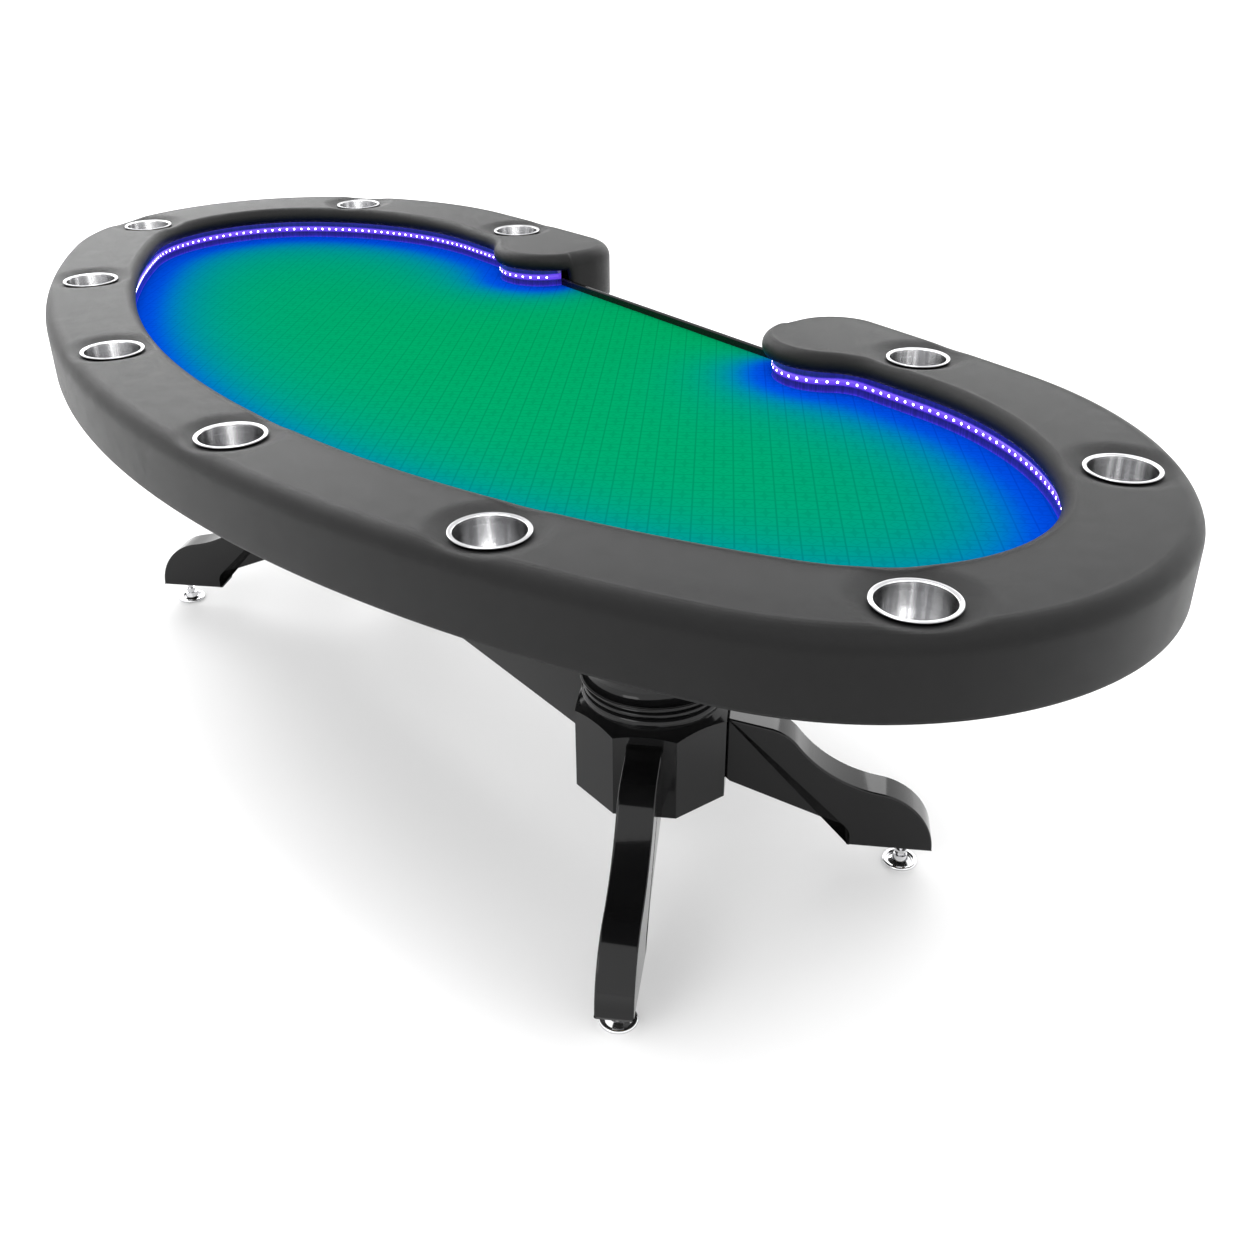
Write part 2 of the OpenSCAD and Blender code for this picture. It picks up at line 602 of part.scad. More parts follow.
// ---- Levelling feet -------------------------------------------------------
function foot_side(i) = i <= 2 ? 1 : -1;
module at_foot(i) {
    s = foot_side(i);
    at_pedestal(s) rotate(leg_angles(s)[(i - 1) % 2]) translate([foot_reach, 0, 0]) children();
}
module foot_inserts() {
    color("darkgoldenrod") for (i = [1:4]) at_foot(i) translate([0, 0, leg_clear]) tube(stem_d + 8, stem_d + 1, insert_h);
}
module foot_plate(i) {
    r = plate_d / 2;
    color("silver") at_foot(i) rotate_extrude() difference() {
        union() {
            translate([0, 0]) square([r - 3, 3]);
            translate([r - 3, 3]) circle(r = 3, $fn = 32);
            translate([r - 6, 3]) square([3, 3]);
            polygon([[0, 3], [20, 3], [13, 7], [11, 16], [0, 16]]);
        }
        translate([0, 4]) square([stem_d / 2 + 0.5, 20]);
        translate([-9, -9]) square([9, 50]);
    }
}
module foot_stem(i) {
    color("lightgray") at_foot(i) union() {
        translate([0, 0, 4.5]) cylinder(d = stem_d, h = 90);
        translate([0, 0, 18]) cylinder(d = 20, h = 9, $fn = 6);
    }
}

// ---- Light controller -----------------------------------------------------
box_x = 120;
box_y = 330;
box_w = 110;
box_d = 70;
box_h = 30;
box_wall = 2.5;
rocker_x = -25;
inlet_x = 25;
cable_x = 384;
cable_y = 466.5;
cable_hole_d = 20;
feed_angle = 200;           // where round the right-hand lobe the cable meets the strip
module controller_box() {
    color([0.1, 0.1, 0.1]) translate([box_x, box_y, under_z - box_h]) difference() {
        translate([-box_w / 2, -box_d / 2, 0]) cube([box_w, box_d, box_h]);
        translate([-box_w / 2 + box_wall, -box_d / 2 + box_wall, -1])
            cube([box_w - 2 * box_wall, box_d - 2 * box_wall, box_h - box_wall + 1]);
        translate([rocker_x - 7.5, box_d / 2 - 5, 9]) cube([15, 10, 12]);
        translate([inlet_x, box_d / 2 - 5, 15]) rotate([-90, 0, 0]) cylinder(d = 12, h = 10);
        translate([box_w / 2 - 5, 0, 15]) rotate([0, 90, 0]) cylinder(d = 5.4, h = 10);
    }
}
module controller_lid() {
    color([0.12, 0.12, 0.12]) translate([box_x - box_w / 2, box_y - box_d / 2, under_z - box_h - 2.5])
        cube([box_w, box_d, 2.5]);
}
module power_rocker() {
    color("firebrick") translate([box_x + rocker_x, box_y + box_d / 2, under_z - 15]) rotate([90, 0, 90])
        translate([0, 0, -7]) linear_extrude(14) union() {
            circle(r = 3, $fn = 32);
            polygon([[-2, -5], [2.2, -5], [3.4, 0], [4.6, 5], [-2, 5]]);
        }
}
module dc_inlet() {
    color("black") translate([box_x + inlet_x, box_y + box_d / 2, under_z - 15]) rotate([-90, 0, 0]) difference() {
        union() {
            translate([0, 0, -9]) cylinder(d = 11.6, h = 10);
            cylinder(d = 15, h = 2.5);
        }
        translate([0, 0, -7]) cylinder(d = 6.4, h = 12);
    }
}
module feed_passage() {
    bottom_r = 65;
    translate([wall_lobe_x, wall_lobe_y, strip_z]) rotate([0, 90, feed_angle])
        translate([0, 0, bottom_r]) cylinder(d = cable_d + 2, h = wall_lobe_r - 2 - bottom_r);
}

// ---- Strip feed cable -----------------------------------------------------
// It leaves the controller, runs along the underside of the deck in its clips
// and rises through the deck to the end of the light strip.
cable_d = 5;
function feed_point(r) = [wall_lobe_x + r * cos(feed_angle), wall_lobe_y + r * sin(feed_angle), strip_z];
cable_route = [
    [box_x + box_w / 2 - 4, box_y, under_z - 15], [box_x + box_w / 2 + 12, box_y, under_z - 15],
    [199, 340, 650], [210, 350, 655], [225, 360, 657], [255, 380, 657], [285, 400, 657],
    [315, 420, 657], [345, 440, 657], [366, 454, 656], [376, 461, 657], [383, 466, 662],
    [386, 468, 672], [386, 467, 690], [385, 463, 704], [381, 454, 713], [374, 442, 717],
    feed_point(60), feed_point(wall_lobe_r - wall_t + 1.9)];
function unit(v) = v / norm(v);
function along(i) = unit(cable_route[min(i + 1, len(cable_route) - 1)] - cable_route[max(i - 1, 0)]);
function across(i) = let (t = along(i), up = abs(t[2]) > 0.95 ? [1, 0, 0] : [0, 0, 1]) unit(cross(t, up));
function carried(i) = i == 0 ? across(0) : let (t = along(i), u = carried(i - 1)) unit(u - t * (u * t));
module strip_feed_cable() {
    n = 8;
    k = len(cable_route);
    points = [for (i = [0:k - 1]) let (u = carried(i), v = cross(along(i), u)) each
        [for (j = [0:n - 1]) cable_route[i] + cable_d / 2 * (u * cos(360 * j / n) + v * sin(360 * j / n))]];
    sides = [for (i = [0:k - 2], j = [0:n - 1]) let (a = i * n + j, b = i * n + (j + 1) % n)
        each [[a, b + n, b], [a, a + n, b + n]]];
    ends = [[for (j = [0:n - 1]) j], [for (j = [n - 1:-1:0]) (k - 1) * n + j]];
    color("black") polyhedron(points, concat(ends, sides));
}
module cable_clips() {
    color("white") for (p = [[255, 380], [330, 430]]) translate([p[0], p[1], 0]) rotate(atan2(2, 3))
        translate([-5, -9, 0]) difference() {
            translate([0, 0, 652]) cube([10, 18, under_z - 652]);
            translate([-1, 5.8, 654]) cube([12, 6.4, 20]);
        }
}

table_deck();
playfield_board();
playfield_foam();
speed_cloth();
wall_riser();
lit_wall();
led_strip();
led_chips();
armrest_board();
armrest_skirt();
armrest_foam();
armrest_cover();
dealer_apron();
dealer_lip();
armrest_knob_bolts();
armrest_inserts();
for (i = [1:10]) cup_holder_at(i);
mounting_plate(-1);  // mounting_plate_left
mounting_plate(1);  // mounting_plate_right
mounting_screws();
column(-1);  // column_left
column(1);  // column_right
octagon_block(-1);  // block_left
octagon_block(1);  // block_right
tie_rod(-1);  // tie_rod_left
tie_rod(1);  // tie_rod_right
tie_rod_nuts();
leg(-1, 0);  // leg_front_left
leg(-1, 1);  // leg_back_left
leg(1, 0);  // leg_front_right
leg(1, 1);  // leg_back_right
leg_bolts();
stretcher();
stretcher_bolts();
foot_inserts();
for (i = [1:4]) foot_plate(i);
for (i = [1:4]) foot_stem(i);
controller_box();
controller_lid();
power_rocker();
dc_inlet();
strip_feed_cable();
cable_clips();
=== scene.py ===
import math

import bpy
import numpy as np
from mathutils import Matrix, Vector
from mathutils.geometry import delaunay_2d_cdt


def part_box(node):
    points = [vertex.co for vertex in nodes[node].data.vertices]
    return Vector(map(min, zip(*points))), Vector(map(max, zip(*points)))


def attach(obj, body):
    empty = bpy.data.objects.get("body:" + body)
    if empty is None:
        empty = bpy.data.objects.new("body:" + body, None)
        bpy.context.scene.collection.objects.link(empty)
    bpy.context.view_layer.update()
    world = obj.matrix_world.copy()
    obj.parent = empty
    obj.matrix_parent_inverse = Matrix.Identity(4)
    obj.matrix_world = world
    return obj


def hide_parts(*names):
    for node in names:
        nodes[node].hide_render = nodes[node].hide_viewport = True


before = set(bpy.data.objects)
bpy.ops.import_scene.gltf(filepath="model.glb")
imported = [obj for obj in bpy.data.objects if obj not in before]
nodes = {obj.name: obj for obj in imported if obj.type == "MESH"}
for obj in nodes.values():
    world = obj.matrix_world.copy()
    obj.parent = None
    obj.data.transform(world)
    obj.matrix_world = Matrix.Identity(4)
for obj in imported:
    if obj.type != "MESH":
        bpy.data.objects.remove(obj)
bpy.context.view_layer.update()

# ---- Driving sizes, in metres, and the levels that come from the frame ------
RIM_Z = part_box("cup_holder_1")[1].z
TOP_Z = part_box("armrest_cover")[1].z
UNDER_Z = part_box("table_deck")[0].z
DECK_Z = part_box("table_deck")[1].z
CLOTH_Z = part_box("speed_cloth")[1].z
WALL_TOP_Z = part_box("lit_wall")[1].z
STRIP_LOW, STRIP_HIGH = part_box("led_strip")[0].z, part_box("led_strip")[1].z
STRIP_Z = (STRIP_LOW + STRIP_HIGH) / 2
DEALER_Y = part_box("dealer_lip")[0].y
FRONT_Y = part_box("armrest_cover")[0].y

OUTER_ARCS = [(2.140, 29), (0.445, 98.5), (0.610, 48.25)]
OUTER_BACK_R = 9.932
INNER_FRONT_Y = -0.441
INNER_ARCS = [(1.850, 32.3), (0.258, 99.3), (0.518, 48.4)]
HEAD_X = 0.405
HEAD_CORNER_R = 0.100
HEAD_LOBE_R = 0.115
HEAD_LOBE_TURN = 130
HEAD_HOLLOW_R = 0.120
OUTER_ROLL = 0.028
INNER_ROLL = 0.019
LIP_ROUND = (0.010, 0.014)
WALL_SETBACK = 0.012
WALL_T = 0.005
WALL_LOBE_R = 0.088
WALL_LOBE_X = 0.420
WALL_HOLLOW_R = 0.066
WALL_HOLLOW_TURN = 50
CHIP_PITCH = 0.0167


# ---- Outlines ---------------------------------------------------------------
def right_of(h):
    """Unit vector to the right of heading h, in degrees."""
    return np.array([math.sin(math.radians(h)), -math.cos(math.radians(h))])


def walk(start, heading, moves, step):
    """Points and right-hand normals along moves: (radius, turn) arcs and (length, 0) straights."""
    p, h = np.array(start, float), heading
    points, normals = [p], [right_of(h)]
    for size, turn in moves:
        along = size * math.radians(abs(turn)) if turn else size
        count = max(1, math.ceil(along / step))
        if turn:
            side = math.copysign(1, turn)
            centre = p - side * size * right_of(h)
            for i in range(1, count + 1):
                n = right_of(h + turn * i / count)
                points.append(centre + side * size * n)
                normals.append(n)
            h += turn
        else:
            ahead = np.array([math.cos(math.radians(h)), math.sin(math.radians(h))])
            for i in range(1, count + 1):
                points.append(p + ahead * size * i / count)
                normals.append(right_of(h))
        p = points[-1]
    return np.array(points), np.array(normals), h


def mirror_half(half):
    """A right-hand half, from front middle onwards, with its mirror image before it."""
    return np.vstack([half[:0:-1] * [-1, 1], half])


def armrest_ring(step):
    """The closed outline of the armrest: points, outward normals, and 1 on its tall side, 0 on its lip."""
    turned = sum(t for _, t in OUTER_ARCS)
    back_turn = math.degrees(math.asin(HEAD_X / OUTER_BACK_R))
    outer_moves = OUTER_ARCS + [(OUTER_BACK_R, 180 - turned - back_turn)]
    outer, outer_n, h = walk((0, FRONT_Y), 0, outer_moves, step)
    inner, inner_n, _ = walk((0, INNER_FRONT_Y), 0, INNER_ARCS, step)
    corner, corner_n, h = walk(outer[-1], h, [(HEAD_CORNER_R, 90 + back_turn)], step)
    back_y = inner[-1][1]
    hollow_turn = HEAD_LOBE_TURN - 90
    lobe_y = (back_y + HEAD_LOBE_R * math.cos(math.radians(hollow_turn))
              - HEAD_HOLLOW_R * (1 - math.cos(math.radians(hollow_turn))))
    side, side_n, h = walk(corner[-1], h, [(corner[-1][1] - lobe_y, 0)], step)
    lobe, lobe_n, h = walk(side[-1], h, [(HEAD_LOBE_R, HEAD_LOBE_TURN)], step / 2)
    hollow, hollow_n, h = walk(lobe[-1], h, [(HEAD_HOLLOW_R, -hollow_turn)], step)
    back, back_n, _ = walk(hollow[-1], h, [(inner[-1][0] - hollow[-1][0], 0)], step)
    half = np.vstack([outer, corner[1:], side[1:], lobe[1:], hollow[1:], back[1:], inner[-2::-1]])
    normals = np.vstack([outer_n, corner_n[1:], side_n[1:], lobe_n[1:], hollow_n[1:], back_n[1:],
                         -inner_n[-2::-1]])
    tall = np.zeros(len(half))
    tall[:len(outer) + len(corner) + len(side) - 2] = 1
    lip_start = len(outer) + len(corner) + len(side) - 3
    for k in range(len(lobe)):
        below = half[lip_start + k][1] - (DEALER_Y + 0.0075)
        tall[lip_start + k] = np.clip(below / 0.004 + 1, 0, 1)
    ring = np.vstack([half, half[-2:0:-1] * [-1, 1]])
    ring_n = np.vstack([normals, normals[-2:0:-1] * [-1, 1]])
    return ring, ring_n, np.concatenate([tall, tall[-2:0:-1]])


def wall_path(step):
    """The lit wall's visible face, from one end round the front to the other: points and outward normals."""
    back_y = walk((0, INNER_FRONT_Y), 0, INNER_ARCS, step)[0][-1][1] + WALL_SETBACK
    arcs = [(r + WALL_SETBACK, turn) for r, turn in INNER_ARCS]
    points, normals, h = walk((0, INNER_FRONT_Y - WALL_SETBACK), 0, arcs, step)
    hollow = math.radians(WALL_HOLLOW_TURN)
    lobe_y = back_y + WALL_LOBE_R * math.cos(hollow) - WALL_HOLLOW_R * (1 - math.cos(hollow))
    hollow_x = WALL_LOBE_X + (WALL_LOBE_R + WALL_HOLLOW_R) * math.sin(hollow)
    last = 90 + WALL_HOLLOW_TURN - math.degrees(math.asin((lobe_y - DEALER_Y) / WALL_LOBE_R))
    more, more_n, _ = walk(points[-1], h, [(points[-1][0] - hollow_x, 0), (WALL_HOLLOW_R, WALL_HOLLOW_TURN),
                                           (WALL_LOBE_R, -last)], step)
    half, half_n = np.vstack([points, more[1:]]), np.vstack([normals, more_n[1:]])
    return mirror_half(half), mirror_half(half_n)


def smooth_step(t):
    t = np.clip(t, 0, 1)
    return t * t * (3 - 2 * t)


# ---- Meshes -----------------------------------------------------------------
def new_piece(name, points, faces, material, smooth=True):
    mesh = bpy.data.meshes.new(name)
    mesh.from_pydata([tuple(map(float, p)) for p in points], [], [tuple(map(int, f)) for f in faces])
    mesh.validate()
    mesh.materials.append(material)
    mesh.polygons.foreach_set("use_smooth", [smooth] * len(mesh.polygons))
    piece = bpy.data.objects.new(name, mesh)
    bpy.context.scene.collection.objects.link(piece)
    return piece


def tidy_normals(piece):
    piece.modifiers.new("normals", "WEIGHTED_NORMAL").keep_sharp = True


def lathe(name, profile, material, centre=(0, 0, 0), turns=128):
    """A turned piece: profile is (radius, height) points from bottom to top, or round a closed section."""
    angles = np.arange(turns) * 2 * np.pi / turns
    points, loops = [], []
    for r, z in profile:
        if r < 1e-6:
            loops.append([len(points)] * turns)
            points.append((0, 0, z))
        else:
            loops.append(list(range(len(points), len(points) + turns)))
            points += [(r * math.cos(a), r * math.sin(a), z) for a in angles]
    faces = []
    for low, high in zip(loops[:-1], loops[1:]):
        for i in range(turns):
            j = (i + 1) % turns
            face = [low[i], low[j], high[j], high[i]]
            faces.append(list(dict.fromkeys(face)))
    piece = new_piece(name, points, faces, material)
    piece.location = centre
    return piece


def swept(name, path, normals, section, material, closed=False):
    """A closed section of (outward, height) points carried along a path, with its ends filled."""
    n, m = len(path), len(section)
    points = [(*(p + d * v), z) for p, v in zip(path, normals) for d, z in section]
    faces = []
    for i in range(n if closed else n - 1):
        for j in range(m):
            a, b = i * m + j, i * m + (j + 1) % m
            c, d = ((i + 1) % n) * m + (j + 1) % m, ((i + 1) % n) * m + j
            faces.append((a, d, c, b))
    if not closed:
        faces += [tuple(range(m)), tuple(range(n * m - 1, (n - 1) * m - 1, -1))]
    return new_piece(name, points, faces, material)


def outline_normals(outline):
    """Outward normals at the points of a closed anticlockwise outline."""
    ahead = np.roll(outline, -1, 0) - np.roll(outline, 1, 0)
    ahead /= np.linalg.norm(ahead, axis=1)[:, None]
    return np.stack([ahead[:, 1], -ahead[:, 0]], 1)


def plate(name, outline, low, high, edge, material, steps=5):
    """A flat plate between two levels with its edges rounded to radius edge."""
    outline = np.array(outline)
    normals = outline_normals(outline)
    angles = np.radians(np.linspace(-90, 90, 2 * steps + 1))
    rings = [(edge * (1 - math.cos(a)), (low + edge + edge * math.sin(a)) if a < 0
              else (high - edge + edge * math.sin(a))) for a in angles]
    rings.insert(steps + 1, (0, high - edge))
    n = len(outline)
    points = [(*p, z) for inset, z in rings for p in outline - inset * normals]
    faces = [(k * n + i, k * n + (i + 1) % n, (k + 1) * n + (i + 1) % n, (k + 1) * n + i)
             for k in range(len(rings) - 1) for i in range(n)]
    faces += [tuple(range(n - 1, -1, -1)), tuple(range((len(rings) - 1) * n, len(rings) * n))]
    piece = new_piece(name, points, faces, material)
    tidy_normals(piece)
    return piece


def filled(boundary_loops, spacing, inside):
    """Triangles that fill closed loops, on an even grid: all points, and the triangles."""
    allpts = np.vstack(boundary_loops)
    low, high = allpts.min(0), allpts.max(0)
    rows = []
    for k, y in enumerate(np.arange(low[1], high[1], spacing * math.sqrt(3) / 2)):
        x = np.arange(low[0] + (k % 2) * spacing / 2, high[0], spacing)
        rows.append(np.stack([x, np.full(len(x), y)], 1))
    grid = np.vstack(rows)
    grid = grid[inside(grid)]
    points = [Vector(p) for p in allpts] + [Vector(p) for p in grid]
    edges, start = [], 0
    for loop in boundary_loops:
        edges += [(start + i, start + (i + 1) % len(loop)) for i in range(len(loop))]
        start += len(loop)
    out, _, faces, origin, _, _ = delaunay_2d_cdt(points, edges, [], 0, 1e-7)
    out = np.array([tuple(p) for p in out])
    middles = np.array([out[list(f)].mean(0) for f in faces])
    keep = inside(middles, 0)
    return out, [f for f, k in zip(faces, keep) if k], origin


def distance_to(points, line, block=4000):
    """The distance from each point to the nearest point of line."""
    return np.concatenate([np.sqrt(((points[i:i + block, None] - line[None]) ** 2).sum(2).min(1))
                           for i in range(0, len(points), block)])


def within(points, outline):
    """Which points lie inside a closed outline."""
    x, y = points[:, 0], points[:, 1]
    inside = np.zeros(len(points), bool)
    for a, b in zip(outline, np.roll(outline, -1, 0)):
        crosses = (a[1] > y) != (b[1] > y)
        if crosses.any():
            inside ^= crosses & (x < a[0] + (y - a[1]) * (b[0] - a[0]) / (b[1] - a[1] + 1e-30))
    return inside


# ---- Materials --------------------------------------------------------------
class Finish:
    """A material, with short calls to add nodes to it."""

    def __init__(self, name, **sockets):
        self.material = bpy.data.materials.new(name)
        self.material.use_nodes = True
        self.tree = self.material.node_tree
        self.shader = self.tree.nodes["Principled BSDF"]
        self.place = self.tree.nodes.new("ShaderNodeTexCoord").outputs["Object"]
        for socket, value in sockets.items():
            self.set(socket.replace("_", " "), value)

    def set(self, socket, value):
        target = self.shader.inputs[socket]
        if isinstance(value, bpy.types.NodeSocket):
            self.tree.links.new(value, target)
        else:
            target.default_value = value

    def node(self, kind, inputs=(), out=0, **settings):
        node = self.tree.nodes.new("ShaderNode" + kind)
        for key, value in settings.items():
            setattr(node, key, value)
        for key, value in dict(inputs).items():
            if isinstance(value, bpy.types.NodeSocket):
                self.tree.links.new(value, node.inputs[key])
            else:
                node.inputs[key].default_value = value
        return node.outputs[out]

    def math(self, operation, a, b=0.0, c=0.0):
        return self.node("Math", {0: a, 1: b, 2: c}, operation=operation)

    def scaled(self, scale, turn=(0, 0, 0)):
        return self.node("Mapping", {"Vector": self.place, "Scale": scale, "Rotation": turn})

    def noise(self, scale, detail=3.0, vector=None, roughness=0.5):
        return self.node("TexNoise", {"Vector": vector or self.place, "Scale": scale, "Detail": detail,
                                      "Roughness": roughness})

    def spread(self, value, low, high, out_low, out_high):
        return self.node("MapRange", {"Value": value, "From Min": low, "From Max": high,
                                      "To Min": out_low, "To Max": out_high})

    def blend(self, share, a, b):
        node = self.tree.nodes.new("ShaderNodeMix")
        node.data_type = "RGBA"
        for key, value in ((0, share), (6, a), (7, b)):
            if isinstance(value, bpy.types.NodeSocket):
                self.tree.links.new(value, node.inputs[key])
            else:
                node.inputs[key].default_value = value
        return node.outputs[2]

    def bump(self, height, strength, distance, below=None):
        inputs = {"Height": height, "Strength": strength, "Distance": distance}
        if below is not None:
            inputs["Normal"] = below
        return self.node("Bump", inputs)


def vinyl():
    """Black satin vinyl with a fine pebble grain, whose cells a noise stretches unevenly."""
    f = Finish("black_vinyl", Specular_IOR_Level=0.17)
    f.set("Base Color", f.blend(f.noise(7, 4), (0.0024, 0.0024, 0.0025, 1), (0.0034, 0.0034, 0.0035, 1)))
    f.set("Roughness", f.spread(f.noise(30, 4), 0.3, 0.7, 0.37, 0.41))
    stretch = f.node("TexNoise", {"Vector": f.place, "Scale": 90.0, "Detail": 2.0}, out=1)
    drift = f.node("TexNoise", {"Vector": f.place, "Scale": 90.0}, out=1)
    shift = f.node("VectorMath", {0: drift, "Scale": 0.004}, operation="SCALE")
    warped = f.node("VectorMath", {0: f.place, 1: stretch, 2: shift}, operation="MULTIPLY_ADD")
    grain = f.node("TexVoronoi", {"Vector": warped, "Scale": 620.0}, feature="DISTANCE_TO_EDGE")
    pebbles = f.spread(grain, 0.0, 0.35, 0.0, 1.0)
    soft = f.bump(f.noise(16, 2), 0.02, 0.0015)
    f.set("Normal", f.bump(pebbles, 0.55, 0.00035, soft))
    return f.material


def lacquer():
    """Piano-black lacquer, slightly uneven, with faint dust and rub marks."""
    f = Finish("black_lacquer", Specular_IOR_Level=0.22, Coat_Weight=0.15, Coat_Roughness=0.03)
    f.set("Base Color", f.blend(f.noise(14, 5), (0.0022, 0.0022, 0.0024, 1), (0.005, 0.005, 0.0052, 1)))
    dust = f.spread(f.noise(220, 6, roughness=0.7), 0.45, 0.75, 0.0, 0.10)
    f.set("Roughness", f.math("ADD", f.spread(f.noise(9, 4), 0.3, 0.7, 0.07, 0.13), dust))
    f.set("Normal", f.bump(f.noise(26, 2), 0.05, 0.0012))
    return f.material


def steel():
    """Stainless steel, brushed round the cup, with painted reflections: light and dark bands by angle round
    the inside, and the flange held at the darker colour as painted shade.
    """
    f = Finish("cup_steel", Metallic=1.0, Anisotropic=0.8, Anisotropic_Rotation=0.25)
    f.set("Tangent", f.node("Tangent", direction_type="RADIAL", axis="Z"))
    parts = f.node("SeparateXYZ", {"Vector": f.place})
    x, y, z = (parts.node.outputs[i] for i in range(3))
    r = f.math("SQRT", f.math("ADD", f.math("MULTIPLY", x, x), f.math("MULTIPLY", y, y)))
    lines = f.node("CombineXYZ", {"X": f.math("MULTIPLY", x, 6.0), "Y": f.math("MULTIPLY", y, 6.0),
                                  "Z": f.math("MULTIPLY", f.math("ADD", r, z), 1400.0)})
    brushed = f.noise(1.0, 4, vector=lines, roughness=0.65)
    around = f.node("CombineXYZ", {"X": f.math("DIVIDE", x, r), "Y": f.math("DIVIDE", y, r)})
    # Painted reflection: light and dark bands of steel by angle round the cup stand in for the studio
    # reflected in it.
    bands = f.spread(f.noise(1.7, 2, vector=around), 0.38, 0.62, 0.0, 1.0)
    # Painted shade: on the flange the bands and brushing are dropped and the colour is held at the darker end.
    flange_painted_shade = f.spread(r, 0.0440, 0.0446, 1.0, 0.0)
    mixed = f.math("ADD", f.math("MULTIPLY", brushed, 0.3), f.math("MULTIPLY", bands, 0.7))
    tone = f.math("MULTIPLY", mixed, flange_painted_shade)
    f.set("Base Color", f.blend(tone, (0.42, 0.42, 0.43, 1), (1.0, 1.0, 1.0, 1)))
    f.set("Roughness", f.spread(brushed, 0.3, 0.7, 0.10, 0.22))
    f.set("Normal", f.bump(brushed, 0.12, 0.0002))
    return f.material


def chrome(name="foot_chrome", colour=0.72, rough=0.07):
    f = Finish(name, Metallic=1.0)
    marks = f.noise(120, 5, roughness=0.6)
    f.set("Base Color", f.blend(marks, (colour * 0.85, colour * 0.85, colour * 0.87, 1),
                                (colour, colour, colour * 1.01, 1)))
    f.set("Roughness", f.spread(marks, 0.35, 0.7, rough, rough + 0.12))
    f.set("Normal", f.bump(f.noise(400, 3), 0.04, 0.0001))
    return f.material


def brass():
    f = Finish("insert_brass", Metallic=1.0)
    marks = f.noise(300, 5)
    f.set("Base Color", f.blend(marks, (0.52, 0.36, 0.14, 1), (0.70, 0.52, 0.24, 1)))
    f.set("Roughness", f.spread(marks, 0.3, 0.7, 0.25, 0.4))
    return f.material


def moulded(name, colour, rough=0.5, grain=900.0):
    """Moulded plastic with a fine spark-eroded grain."""
    f = Finish(name)
    dark = tuple(c * 0.8 for c in colour)
    f.set("Base Color", f.blend(f.noise(60, 4), (*dark, 1), (*colour, 1)))
    f.set("Roughness", f.spread(f.noise(grain / 3, 2), 0.3, 0.7, rough - 0.06, rough + 0.06))
    f.set("Normal", f.bump(f.noise(grain, 2), 0.15, 0.0002))
    return f.material


def plywood():
    """Birch plywood: long grain, and the plies on its edges."""
    f = Finish("birch_plywood")
    grain = f.noise(1.0, 6, vector=f.scaled((9, 160, 160)), roughness=0.65)
    plies = f.node("TexWave", {"Vector": f.place, "Scale": 120.0, "Distortion": 0.6, "Detail": 1.0},
                   bands_direction="Z")
    wood = f.blend(grain, (0.50, 0.35, 0.20, 1), (0.72, 0.56, 0.37, 1))
    f.set("Base Color", f.blend(f.math("MULTIPLY", plies, 0.25), wood, (0.30, 0.19, 0.10, 1)))
    f.set("Roughness", f.spread(grain, 0.3, 0.7, 0.55, 0.7))
    f.set("Normal", f.bump(grain, 0.12, 0.0004))
    return f.material


def fibreboard():
    """Fibreboard sealed with black paint: flat, with roller stipple."""
    f = Finish("sealed_fibreboard")
    f.set("Base Color", f.blend(f.noise(18, 5), (0.010, 0.010, 0.011, 1), (0.022, 0.021, 0.021, 1)))
    f.set("Roughness", f.spread(f.noise(45, 4), 0.3, 0.7, 0.55, 0.72))
    f.set("Normal", f.bump(f.noise(260, 4), 0.2, 0.0004))
    return f.material


def foam():
    f = Finish("upholstery_foam", Roughness=0.95)
    cells = f.node("TexVoronoi", {"Vector": f.place, "Scale": 1300.0})
    f.set("Base Color", f.blend(cells, (0.55, 0.55, 0.52, 1), (0.72, 0.71, 0.66, 1)))
    f.set("Normal", f.bump(cells, 0.3, 0.0005))
    return f.material


